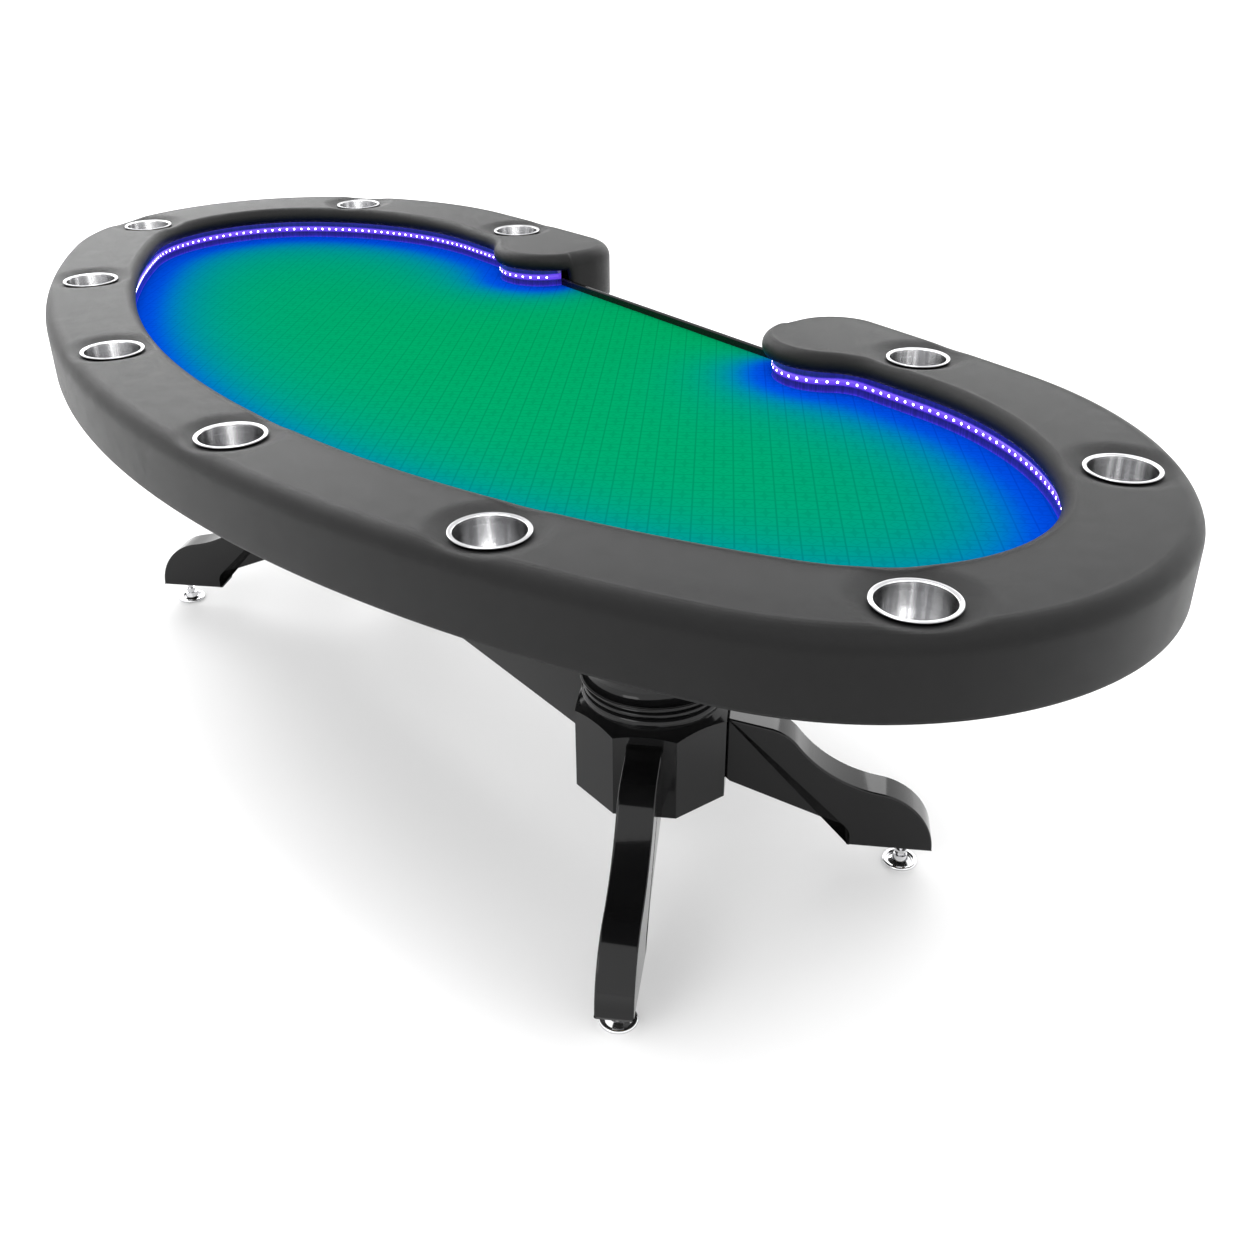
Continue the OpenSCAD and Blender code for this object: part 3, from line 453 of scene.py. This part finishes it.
def cloth():
    """Green speed cloth, printed with a faint grid of generic tiles. Where the strip's light falls it is
    turned blue by painted light, with the armrest's painted shade in it, and glows by a painted emission.
    """
    f = Finish("speed_cloth", Specular_IOR_Level=0.0)
    turned = f.node("Mapping", {"Vector": f.place, "Rotation": (0, 0, math.radians(TILE_TURN)),
                                "Scale": (1 / TILE, 1 / TILE, 1)}, vector_type="POINT")
    parts = f.node("SeparateXYZ", {"Vector": turned})
    u, v = parts.node.outputs[0], parts.node.outputs[1]
    fu = f.math("ABSOLUTE", f.math("SUBTRACT", f.math("FRACT", u), 0.5))
    fv = f.math("ABSOLUTE", f.math("SUBTRACT", f.math("FRACT", v), 0.5))
    odd = f.math("PINGPONG", f.math("ADD", f.math("FLOOR", u), f.math("FLOOR", v)), 1.0)
    border = f.spread(f.math("MAXIMUM", fu, fv), 0.445, 0.475, 0.0, 1.0)
    from_lozenge = f.math("ABSOLUTE", f.math("SUBTRACT", f.math("ADD", fu, fv), 0.30))
    lozenge = f.spread(from_lozenge, 0.03, 0.06, 1.0, 0.0)
    petals = f.spread(f.math("MULTIPLY", fu, fv), 0.012, 0.022, 1.0, 0.0)
    motif = f.node("Mix", {0: odd, 2: lozenge, 3: petals})
    print_ = f.math("MAXIMUM", border, f.math("MULTIPLY", motif, 0.55))
    weave = f.math("MULTIPLY", f.node("TexWave", {"Vector": f.place, "Scale": 480.0}, bands_direction="X"),
                   f.node("TexWave", {"Vector": f.place, "Scale": 480.0}, bands_direction="Y"))
    tone = f.math("ADD", f.math("MULTIPLY", print_, 0.55), f.math("MULTIPLY", f.noise(5, 3), 0.08))
    green = f.blend(tone, CLOTH_GREEN, CLOTH_DARK)
    # Painted light: the glow attribute, worked out from the strip, blends the base colour to a painted blue
    # and sets a painted emission.
    glow = f.node("Attribute", {}, out=2, attribute_name="glow")
    blue = f.blend(tone, CLOTH_PAINTED_LIGHT_BLUE, (0.0, 0.025, 0.22, 1))
    f.set("Base Color", f.blend(glow, green, blue))
    f.set("Emission Color", f.blend(tone, (0.0, 0.05, 1.0, 1), (0.0, 0.03, 0.8, 1)))
    f.set("Emission Strength", f.math("MULTIPLY", glow, CLOTH_PAINTED_GLOW))
    f.set("Roughness", f.spread(print_, 0.0, 1.0, 0.80, 0.62))
    f.set("Normal", f.bump(f.math("SUBTRACT", weave, f.math("MULTIPLY", print_, 0.5)), 0.25, 0.0003))
    return f.material


def acrylic():
    """Black acrylic. Violet bands, set by height, stand in for the strip's light on it."""
    f = Finish("black_acrylic", Coat_Weight=0.5, Coat_Roughness=0.05)
    z = f.node("SeparateXYZ", {"Vector": f.place}, out=2)
    height = f.spread(z, CLOTH_Z, WALL_TOP_Z, 0.0, 1.0)
    ramp = f.node("ValToRGB", {"Fac": height}).node
    stops = [(0.0, (0.05, 0.03, 0.70)), (0.10, (0.02, 0.012, 0.30)), (0.30, (0.012, 0.006, 0.16)),
             (0.42, (0.06, 0.03, 0.9)), (0.62, (0.06, 0.03, 0.9)), (0.72, (0.012, 0.006, 0.17)),
             (0.90, (0.02, 0.01, 0.28)), (0.955, (0.16, 0.09, 1.0)), (1.0, (0.20, 0.12, 1.0))]
    while len(ramp.color_ramp.elements) < len(stops):
        ramp.color_ramp.elements.new(0.5)
    for element, (at, colour) in zip(ramp.color_ramp.elements, stops):
        element.position = at
        element.color = (*colour, 1)
    # Painted light: the acrylic is made to glow in violet bands by height, a painted reflection of the strip,
    # and this noise varies that painted glow in streaks.
    painted_glow_streaks = f.spread(f.noise(1.0, 2, vector=f.scaled((420, 420, 8))), 0.35, 0.65, 0.65, 1.15)
    f.set("Base Color", f.blend(f.noise(40, 3), (0.004, 0.004, 0.008, 1), (0.009, 0.008, 0.015, 1)))
    f.set("Roughness", f.spread(f.noise(80, 4), 0.3, 0.7, 0.12, 0.2))
    f.set("Emission Color", ramp.outputs[0])
    f.set("Emission Strength", f.math("MULTIPLY", painted_glow_streaks, WALL_PAINTED_GLOW))
    return f.material


def lamp(name, colour, strength, base):
    """A lit face, with a little mottling."""
    f = Finish(name, Roughness=0.4)
    mottle = f.noise(900, 3)
    f.set("Base Color", f.blend(mottle, (*(c * 0.85 for c in base), 1), (*base, 1)))
    f.set("Emission Color", f.blend(mottle, (*colour, 1), (*(min(1, c * 1.15) for c in colour), 1)))
    f.set("Emission Strength", f.spread(mottle, 0.2, 0.8, strength * 0.8, strength * 1.2))
    return f.material


def floor_paint():
    f = Finish("floor", Roughness=0.55, Specular_IOR_Level=0.2)
    f.set("Base Color", f.blend(f.noise(1.5, 4), (0.90, 0.90, 0.90, 1), (0.93, 0.93, 0.93, 1)))
    return f.material


TILE = 0.0273
GLOW_HALF = 7.8
TILE_TURN = 41
CLOTH_GREEN = (0.0, 0.180, 0.052, 1)
CLOTH_DARK = (0.0, 0.105, 0.030, 1)
# The cloth's painted blue light, with the armrest's shade painted in, and the strength of the cloth's painted
# glow.
CLOTH_PAINTED_LIGHT_BLUE = (0.0, 0.040, 0.34, 1)
CLOTH_PAINTED_GLOW = 0.15
# Strength of the acrylic wall's painted glow.
WALL_PAINTED_GLOW = 1.0
TAPE_GLOW = 0.75
CHIP_GLOW = 10.0
WORLD, KEY = 1.65, 45

VINYL, LACQUER, STEEL = vinyl(), lacquer(), steel()
CHROME, ZINC, BRASS = chrome(), chrome("zinc_steel", 0.55, 0.25), brass()
KNOB = moulded("knob_black", (0.03, 0.03, 0.03), 0.45)
BOX = moulded("controller_black", (0.02, 0.02, 0.021), 0.5)
ROCKER = moulded("rocker_red", (0.55, 0.02, 0.015), 0.3)
CABLE = moulded("cable_black", (0.015, 0.015, 0.016), 0.45)
CLIP = moulded("clip_white", (0.7, 0.7, 0.68), 0.4)
PLYWOOD, FIBREBOARD, FOAM = plywood(), fibreboard(), foam()
CLOTH, ACRYLIC = cloth(), acrylic()
TAPE = lamp("led_tape", (0.17, 0.07, 0.95), TAPE_GLOW, (0.06, 0.03, 0.25))
CHIP_LENS = lamp("led_chip", (0.80, 0.76, 1.0), CHIP_GLOW, (0.7, 0.7, 0.75))
CHIP_BODY = moulded("led_chip_body", (0.35, 0.30, 0.75), 0.35)
EDGE = lacquer()
EDGE.name = "dealer_edge"
FLOOR = floor_paint()

# ---- Padded armrest -----------------------------------------------------------
cups = [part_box(f"cup_holder_{i}") for i in range(1, 11)]
cup_spots = np.array([[(lo.x + hi.x) / 2, (lo.y + hi.y) / 2] for lo, hi in cups])
SEAT_Z = RIM_Z - 0.0045
SEAT_R, DIMPLE = 0.050, 0.034
HOLE_R = 0.0465


def armrest_profiles():
    """Matching (inset, height) points down the tall side and down the inner lip, from the hem upwards."""
    top = TOP_Z - OUTER_ROLL
    tall = [(0.024, UNDER_Z - 0.0018), (0.012, UNDER_Z - 0.0020), (0.0028, UNDER_Z - 0.0020),
            (0.0007, UNDER_Z - 0.0006), (0.0, UNDER_Z + 0.003)]
    tall += [(0.0, UNDER_Z + 0.003 + (top - UNDER_Z - 0.003) * k / 6) for k in range(1, 7)]
    lip_z = TOP_Z - INNER_ROLL
    width, height = LIP_ROUND
    lip = [(0.0119, WALL_TOP_Z), (0.0117, WALL_TOP_Z - 0.0010), (0.0113, WALL_TOP_Z - 0.0016),
           (0.0108, WALL_TOP_Z - 0.0020), (0.0102, WALL_TOP_Z - 0.0021)]
    lip += [(width * (1 - math.cos(math.radians(a))), lip_z + height * math.sin(math.radians(a)))
            for a in np.linspace(-80, 0, 6)]
    for a in np.radians(np.arange(9, 91, 9)):
        tall.append((OUTER_ROLL * (1 - math.cos(a)), top + OUTER_ROLL * math.sin(a)))
        lip.append((INNER_ROLL * (1 - math.cos(a)), lip_z + INNER_ROLL * math.sin(a)))
    return np.array(tall), np.array(lip)


def dimpled(points):
    """The upholstery pulled down round each cup."""
    for centre in cup_spots:
        away = np.linalg.norm(points[:, :2] - centre, axis=1)
        near = (away < SEAT_R + DIMPLE) & (points[:, 2] > SEAT_Z)
        pull = smooth_step((away[near] - SEAT_R) / DIMPLE) ** 0.8
        points[near, 2] = SEAT_Z + (points[near, 2] - SEAT_Z) * pull
    return points


def upholstery():
    ring, outward, share = armrest_ring(0.009)
    tall, lip = armrest_profiles()
    n = len(ring)
    loops = []
    for (ti, tz), (li, lz) in zip(tall, lip):
        inset = share * ti + (1 - share) * li
        loops.append(np.column_stack([ring - outward * inset[:, None], share * tz + (1 - share) * lz]))
    edge = loops[-1][:, :2]

    def inside(p, clear=0.0035):
        hit = within(p, edge)
        if clear:
            hit[hit] = distance_to(p[hit], edge) > clear
        return hit

    flat, triangles, origin = filled([edge], 0.007, inside)
    base = (len(loops) - 1) * n
    index = np.zeros(len(flat), int)
    extra = []
    for k, source in enumerate(origin):
        if source and source[0] < n:
            index[k] = base + source[0]
        else:
            index[k] = base + n + len(extra)
            extra.append((*flat[k], TOP_Z))
    points = np.vstack(loops + [np.array(extra)])
    faces = [(k * n + i, k * n + (i + 1) % n, (k + 1) * n + (i + 1) % n, (k + 1) * n + i)
             for k in range(len(loops) - 1) for i in range(n)]
    faces += [tuple(index[list(f)]) for f in triangles]
    from_edge = distance_to(points[:, :2], ring)
    crown = smooth_step(from_edge / 0.075) * 0.0012
    points[base:, 2] += crown[base:] - 0.0012
    points = dimpled(points)
    doomed = np.zeros(len(points), bool)
    for centre in cup_spots:
        v = points[:, :2] - centre
        away = np.linalg.norm(v, axis=1)
        over = points[:, 2] > SEAT_Z - 0.006
        rim = over & (away < HOLE_R) & (away > HOLE_R - 0.0075)
        points[rim, :2] = centre + v[rim] / away[rim, None] * HOLE_R
        doomed |= over & (away <= HOLE_R - 0.0075)
    faces = [f for f in faces if not any(doomed[i] for i in f)]
    rim_edge = []
    for f in faces:
        middle = points[list(f), :2].mean(0)
        if np.linalg.norm(cup_spots - middle, axis=1).min() > HOLE_R - 0.001:
            rim_edge.append(f)
    used = np.unique(np.concatenate([np.array(f) for f in rim_edge]))
    renumber = -np.ones(len(points), int)
    renumber[used] = np.arange(len(used))
    piece = new_piece("armrest_upholstery", points[used], [tuple(renumber[list(f)]) for f in rim_edge], VINYL)
    skin = piece.modifiers.new("skin", "SOLIDIFY")
    skin.thickness = 0.0012
    skin.offset = -1
    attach(piece, "table")
    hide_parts("armrest_cover", "armrest_foam")
    return piece


upholstery()

# ---- Cups ---------------------------------------------------------------------
def cup_profile(low, high, outer):
    """Section of a drawn steel cup, from the middle of its underside round to the middle inside."""
    r, t, corner = outer - 0.0055, 0.0010, 0.006
    turns = np.radians(np.arange(0, 91, 15))
    under = [(0, low), (r - corner - 0.004, low)]
    under += [(r - corner + corner * math.sin(a), low + corner - corner * math.cos(a)) for a in turns]
    under += [(r, high - 0.0026), (outer - 0.002, high - 0.0026)]
    rim = [(outer - 0.0013 + 0.0013 * math.sin(a), high - 0.0013 - 0.0013 * math.cos(a))
           for a in np.radians(np.arange(0, 181, 20))]
    inner = r - t
    mouth = [(inner + 0.0016 * (1 - math.sin(a)), high - 0.0006 - 0.0016 * (1 - math.cos(a)))
             for a in np.radians(np.arange(0, 91, 15))]
    floor = [(inner - corner + t + (corner - t) * math.cos(a), low + t + (corner - t) * (1 - math.sin(a)))
             for a in turns]
    rim.append((outer - 0.003, high - 0.0003))
    return under + rim + mouth + floor + [(inner - corner - 0.012, low + t), (0, low + t)]


for i, (lo, hi) in enumerate(cups, 1):
    spot = ((lo.x + hi.x) / 2, (lo.y + hi.y) / 2, 0)
    cup = lathe(f"cup_{i}_steel", cup_profile(lo.z, hi.z, (hi.x - lo.x) / 2), STEEL, spot, 160)
    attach(cup, f"cup_{i}")
    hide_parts(f"cup_holder_{i}")

# ---- Lit wall and lights --------------------------------------------------------
def on_table(piece, node):
    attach(piece, "table")
    if node:
        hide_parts(node)
    return piece


path, path_n = wall_path(0.008)
wall_section = [(0.0, DECK_Z), (WALL_T, DECK_Z), (WALL_T, WALL_TOP_Z), (0.0004, WALL_TOP_Z),
                (0.0, WALL_TOP_Z - 0.0004),
                (0.0, STRIP_HIGH + 0.0005), (0.002, STRIP_HIGH + 0.0005), (0.002, STRIP_LOW - 0.0005),
                (0.0, STRIP_LOW - 0.0005)]
wall = swept("lit_wall_acrylic", path, path_n, wall_section[::-1], ACRYLIC)
wall.data.polygons.foreach_set("use_smooth", [False] * len(wall.data.polygons))
on_table(wall, "lit_wall")
tape_face = WALL_T - 0.002 - 0.0015
tape_section = [(tape_face, STRIP_LOW), (WALL_T - 0.0021, STRIP_LOW), (WALL_T - 0.0021, STRIP_HIGH),
                (tape_face, STRIP_HIGH)]
tape = swept("led_tape_run", path, path_n, [(d - 0.0009, z) for d, z in tape_section[::-1]], TAPE)
on_table(tape, "led_strip")


def lights_along(pitch):
    """Light packages at even distances along the wall: bevelled bodies, and their lenses."""
    along = np.concatenate([[0], np.cumsum(np.linalg.norm(np.diff(path, axis=0), axis=1))])
    half = along[-1] / 2
    steps = np.arange(0.5, math.floor((half - 0.020) / pitch)) * pitch
    places = np.concatenate([half - steps[::-1], half + steps])
    where = np.stack([np.interp(places, along, path[:, k]) for k in (0, 1)], 1)
    out = np.stack([np.interp(places, along, path_n[:, k]) for k in (0, 1)], 1)
    out /= np.linalg.norm(out, axis=1)[:, None]
    size, deep, bevel = 0.0025, 0.0010, 0.0004
    body_points, body_faces, lens_points, lens_faces = [], [], [], []
    round_ = [(math.cos(a), math.sin(a)) for a in np.arange(16) * math.pi / 8]
    for p, n in zip(where, out):
        t = np.array([-n[1], n[0]])

        def at(across, up, proud):
            xy = p + (tape_face - 0.0009 - proud) * n + across * t
            return (*xy, STRIP_Z + up)

        base = len(body_points)
        for half_size, proud in ((size, 0.0), (size, deep), (size - bevel, deep + bevel)):
            body_points += [at(a * half_size, b * half_size, proud)
                            for a, b in ((-1, -1), (1, -1), (1, 1), (-1, 1))]
        for k in range(2):
            for i in range(4):
                j = (i + 1) % 4
                low = base + 4 * k
                body_faces.append([low + i, low + j, low + 4 + j, low + 4 + i])
        body_faces += [[base + 3, base + 2, base + 1, base], [base + 8, base + 9, base + 10, base + 11]]
        base = len(lens_points)
        front = deep + bevel
        for r, proud in ((0.0019, front), (0.0017, front + 0.0003), (0.0010, front + 0.0005)):
            lens_points += [at(r * a, r * b, proud) for a, b in round_]
        for k in range(2):
            for i in range(16):
                j = (i + 1) % 16
                low = base + 16 * k
                lens_faces.append([low + i, low + j, low + 16 + j, low + 16 + i])
        lens_faces += [list(range(base + 15, base - 1, -1)), list(range(base + 32, base + 48))]
    bodies = new_piece("led_packages", body_points, body_faces, CHIP_BODY, smooth=False)
    lenses = new_piece("led_lenses", lens_points, lens_faces, CHIP_LENS)
    on_table(bodies, "led_chips")
    on_table(lenses, None)


lights_along(CHIP_PITCH)

# ---- Playing surface --------------------------------------------------------------
field = path - path_n * 0.0004


def resampled(line, step, closed=True):
    """The same line with points no further than step apart."""
    ends = np.vstack([line, line[:1]]) if closed else line
    out = []
    for a, b in zip(ends[:-1], ends[1:]):
        k = max(1, math.ceil(np.linalg.norm(b - a) / step))
        out += [a + (b - a) * i / k for i in range(k)]
    return np.array(out)


def strip_light(points):
    """How much of the strip's light reaches each point of the cloth, from 0 to about 1."""
    spots = resampled(path, 0.010, closed=False)
    steps = np.linspace(0, len(spots) - 1, len(path))
    normals = np.stack([np.interp(np.arange(len(spots)), steps, path_n[:, k]) for k in (0, 1)], 1)
    height = STRIP_Z - CLOTH_Z
    light = np.zeros(len(points))
    for p, n in zip(spots, normals):
        d = points - p
        ahead = np.maximum(-(d @ n), 0.008)
        square = (d ** 2).sum(1) + height ** 2
        light += ahead * height / square ** 2 * 0.010
    return light


def playing_cloth():
    outline = resampled(field, 0.010)

    def inside(p, clear=0.005):
        hit = within(p, outline)
        if clear:
            hit[hit] = distance_to(p[hit], outline) > clear
        return hit

    flat, triangles, origin = filled([outline], 0.012, inside)
    n = len(flat)
    low, high = CLOTH_Z - 0.001, CLOTH_Z
    ring = [k for k, source in enumerate(origin) if source and source[0] < len(outline)]
    ring.sort(key=lambda k: origin[k][0])
    points = [(*p, high) for p in flat] + [(*p, low) for p in flat]
    faces = [tuple(f) for f in triangles] + [tuple(n + i for i in reversed(f)) for f in triangles]
    faces += [(ring[i], n + ring[i], n + ring[(i + 1) % len(ring)], ring[(i + 1) % len(ring)])
              for i in range(len(ring))]
    piece = new_piece("playing_cloth", points, faces, CLOTH, smooth=False)
    # Painted light: the strip's light on the cloth, stored as the glow attribute that paints the cloth blue
    # and makes it glow.
    light = strip_light(np.vstack([flat, flat]))
    share = 1 - np.exp(-(light / GLOW_HALF) ** 1.1)
    layer = piece.data.attributes.new("glow", "FLOAT", "POINT")
    layer.data.foreach_set("value", share.astype(np.float32))
    on_table(piece, "speed_cloth")
    return piece


field_edge = resampled(field, 0.020)
padding = plate("playfield_padding", field_edge - 0.001 * outline_normals(field_edge),
                CLOTH_Z - 0.005, CLOTH_Z - 0.001, 0.001, FOAM, steps=3)
on_table(padding, "playfield_foam")
playing_cloth()

# ---- Pedestals --------------------------------------------------------------------
COLUMN_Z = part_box("column_right")[0].z
PLATE_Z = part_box("mounting_plate_right")[0].z
LEG_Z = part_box("leg_front_right")[0].z
PEDESTALS = {side: [(a + b) / 2 for a, b in zip(*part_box(f"block_{side}"))][:2] for side in ("left", "right")}
BLOCK_FACE = 0.129 * math.cos(math.radians(22.5))
NECK_Z = COLUMN_Z + 0.223


def arc(centre, radius, start, end, step=6):
    count = max(2, math.ceil(abs(end - start) / step))
    angles = np.radians(np.linspace(start, end, count + 1))
    return [(centre[0] + radius[0] * math.cos(a), centre[1] + radius[1] * math.sin(a)) for a in angles]


def column_profile():
    h = COLUMN_Z
    vase_z, top_cove = h + 0.040, PLATE_Z - 0.022
    points = [(0.0, h), (0.1055, h), (0.106, h + 0.0005)]
    points += arc((0.106, h + 0.009), (0.009, 0.009), -90, 90)
    points += arc((0.108, h + 0.0225), (0.0045, 0.0045), -90, 90)
    points += [(0.1075, h + 0.0355)]
    points += arc((0.1150, h + 0.038), (0.002, 0.002), -90, 90, 22)
    points += [(0.117 - 0.017 * math.sin(a), vase_z + 0.022 * (1 - math.cos(a)))
               for a in np.radians(np.arange(5, 86, 5))]
    vase_mid, vase_top = 0.372, NECK_Z - 0.012
    points += [(0.062 + 0.038 * math.cos(a), vase_mid + (vase_top - vase_mid) * math.sin(a))
               for a in np.radians(np.arange(0, 89, 4))]
    points += [(0.060, vase_top + 0.001)]
    points += arc((0.062, NECK_Z), (0.008, 0.008), -80, 80)
    points += [(0.060, NECK_Z + 0.012)]
    points += [(0.086 - 0.026 * math.cos(a), NECK_Z + 0.012 + (PLATE_Z - 0.034 - NECK_Z) * math.sin(a))
               for a in np.radians(np.arange(8, 89, 5))]
    points += [(0.0855, top_cove), (0.0915, top_cove), (0.092, top_cove + 0.0008), (0.092, PLATE_Z - 0.0004),
               (0.0, PLATE_Z - 0.0004)]
    return points


def leg_outline():
    """Side view of a leg: the cyma curve, the toe, the flat sole and the hollow behind it."""
    start, heading = (BLOCK_FACE, 0.272), -11.3
    knee = [(0.068, 0), (0.077, -41.3), (0.210, 43.8)]
    top, _, h = walk(start, heading, knee, 0.004)
    toe_r = (top[-1][1] - LEG_Z) / math.sin(math.radians(81.2))
    toe, _, _ = walk(top[-1], h, [(toe_r, -81.2)], 0.004)
    sole_r = 0.321
    hollow = arc((sole_r - 0.028, 0.060), (0.028, 0.028), 0, 80, 6)
    heel = [(sole_r - 0.001, LEG_Z), (sole_r, LEG_Z + 0.001)]
    under = [(BLOCK_FACE + 0.007, 0.153), (BLOCK_FACE, 0.160)]
    return np.array(list(map(tuple, top)) + list(map(tuple, toe[1:])) + heel + hollow + under)[::-1]


def stand_up(piece, centre, turn, thickness):
    """A plate drawn flat as (reach, height) set upright, pointing outwards along turn."""
    c, s = math.cos(math.radians(turn)), math.sin(math.radians(turn))
    for v in piece.data.vertices:
        reach, height, across = v.co
        across -= thickness / 2
        v.co = (centre[0] + reach * c + across * s, centre[1] + reach * s - across * c, height)
    piece.data.update()


for side, (x, y) in PEDESTALS.items():
    column = lathe(f"column_{side}_turned", column_profile(), LACQUER, (x, y, 0), 160)
    on_table(column, f"column_{side}")
    for place, turn in (("front", -45), ("back", 45)):
        angle = turn if side == "right" else 180 - turn
        node = f"leg_{place}_{side}"
        leg = plate(f"{node}_shaped", leg_outline(), 0.0, 0.056, 0.0035, LACQUER)
        stand_up(leg, (x, y), angle, 0.056)
        on_table(leg, node)

# ---- Pieces kept as the frame has them -------------------------------------------------
FINISHES = {
    "table_deck": FIBREBOARD, "playfield_board": PLYWOOD, "wall_riser": PLYWOOD, "armrest_board": PLYWOOD,
    "armrest_skirt": PLYWOOD, "dealer_apron": FIBREBOARD, "dealer_lip": EDGE, "armrest_knob_bolts": KNOB,
    "armrest_inserts": BRASS, "mounting_plate_left": FIBREBOARD, "mounting_plate_right": FIBREBOARD,
    "mounting_screws": ZINC, "block_left": LACQUER, "block_right": LACQUER, "tie_rod_left": ZINC,
    "tie_rod_right": ZINC, "tie_rod_nuts": ZINC, "leg_bolts": ZINC, "stretcher": LACQUER,
    "stretcher_bolts": ZINC, "foot_inserts": BRASS, "controller_box": BOX, "controller_lid": BOX,
    "power_rocker": ROCKER, "dc_inlet": BOX, "strip_feed_cable": CABLE, "cable_clips": CLIP,
}
FINISHES.update({f"foot_{part}_{i}": CHROME for part in ("plate", "stem") for i in range(1, 5)})
EASED = {"block_left": 0.0018, "block_right": 0.0018, "stretcher": 0.002, "controller_box": 0.0012,
         "controller_lid": 0.0008, "mounting_plate_left": 0.001, "mounting_plate_right": 0.001,
         "power_rocker": 0.0004, "table_deck": 0.001, "dealer_apron": 0.001, "cable_clips": 0.0004}
for name, material in FINISHES.items():
    node = nodes[name]
    node.data.materials.clear()
    node.data.materials.append(material)
    if name in EASED:
        ease = node.modifiers.new("eased_edges", "BEVEL")
        ease.width, ease.segments = EASED[name], 3
        ease.limit_method, ease.angle_limit = "ANGLE", math.radians(30)
        ease.use_clamp_overlap = True

# ---- Studio ------------------------------------------------------------------------------
bpy.ops.mesh.primitive_grid_add(x_subdivisions=8, y_subdivisions=8, size=60, location=(0, 0, 0))
floor = bpy.context.object
floor.name = "floor"
floor.data.materials.append(FLOOR)

world = bpy.data.worlds.new("studio")
bpy.context.scene.world = world
world.use_nodes = True
world.node_tree.nodes["Background"].inputs["Color"].default_value = (1, 1, 1, 1)
world.node_tree.nodes["Background"].inputs["Strength"].default_value = WORLD


def softbox(name, place, target, size, power):
    light = bpy.data.lights.new(name, "AREA")
    light.shape = "RECTANGLE"
    light.size, light.size_y = size
    light.energy = power
    box = bpy.data.objects.new(name, light)
    bpy.context.scene.collection.objects.link(box)
    box.location = place
    box.rotation_euler = (Vector(target) - Vector(place)).to_track_quat("-Z", "Y").to_euler()
    box.visible_camera = False


softbox("key", (0.30, -0.35, 3.2), (0.30, -0.35, 0.75), (1.8, 1.2), KEY)
softbox("front", (1.25, -3.2, 2.2), (1.0, -0.4, 0.72), (1.6, 1.4), 20)
softbox("far_left", (-5.3, 0.6, 2.9), (-0.4, 0, 0.75), (3.6, 2.6), 100)
softbox("far_right", (-2.4, 4.6, 2.9), (0.4, 0, 0.75), (2.6, 2.0), 42)

CAMERA = (1.9010, -1.0820, 1.3910)
AZIMUTH, ELEVATION, ROLL, LENS = 52.98, 28.96, -0.23, 37.66


def camera():
    data = bpy.data.cameras.new("camera")
    data.lens, data.sensor_width = LENS, 36
    data.clip_start, data.clip_end = 0.02, 200
    shot = bpy.data.objects.new("camera", data)
    bpy.context.scene.collection.objects.link(shot)
    az, el, roll = map(math.radians, (AZIMUTH, ELEVATION, ROLL))
    right = Vector((math.cos(az), math.sin(az), 0))
    back = Vector((math.sin(az) * math.cos(el), -math.cos(az) * math.cos(el), math.sin(el)))
    up = back.cross(right)
    across = math.cos(roll) * right + math.sin(roll) * up
    upward = -math.sin(roll) * right + math.cos(roll) * up
    turn = Matrix((across, upward, back)).transposed().to_4x4()
    shot.matrix_world = Matrix.Translation(CAMERA) @ turn
    bpy.context.scene.camera = shot


camera()
bpy.context.scene.view_settings.view_transform = "Standard"
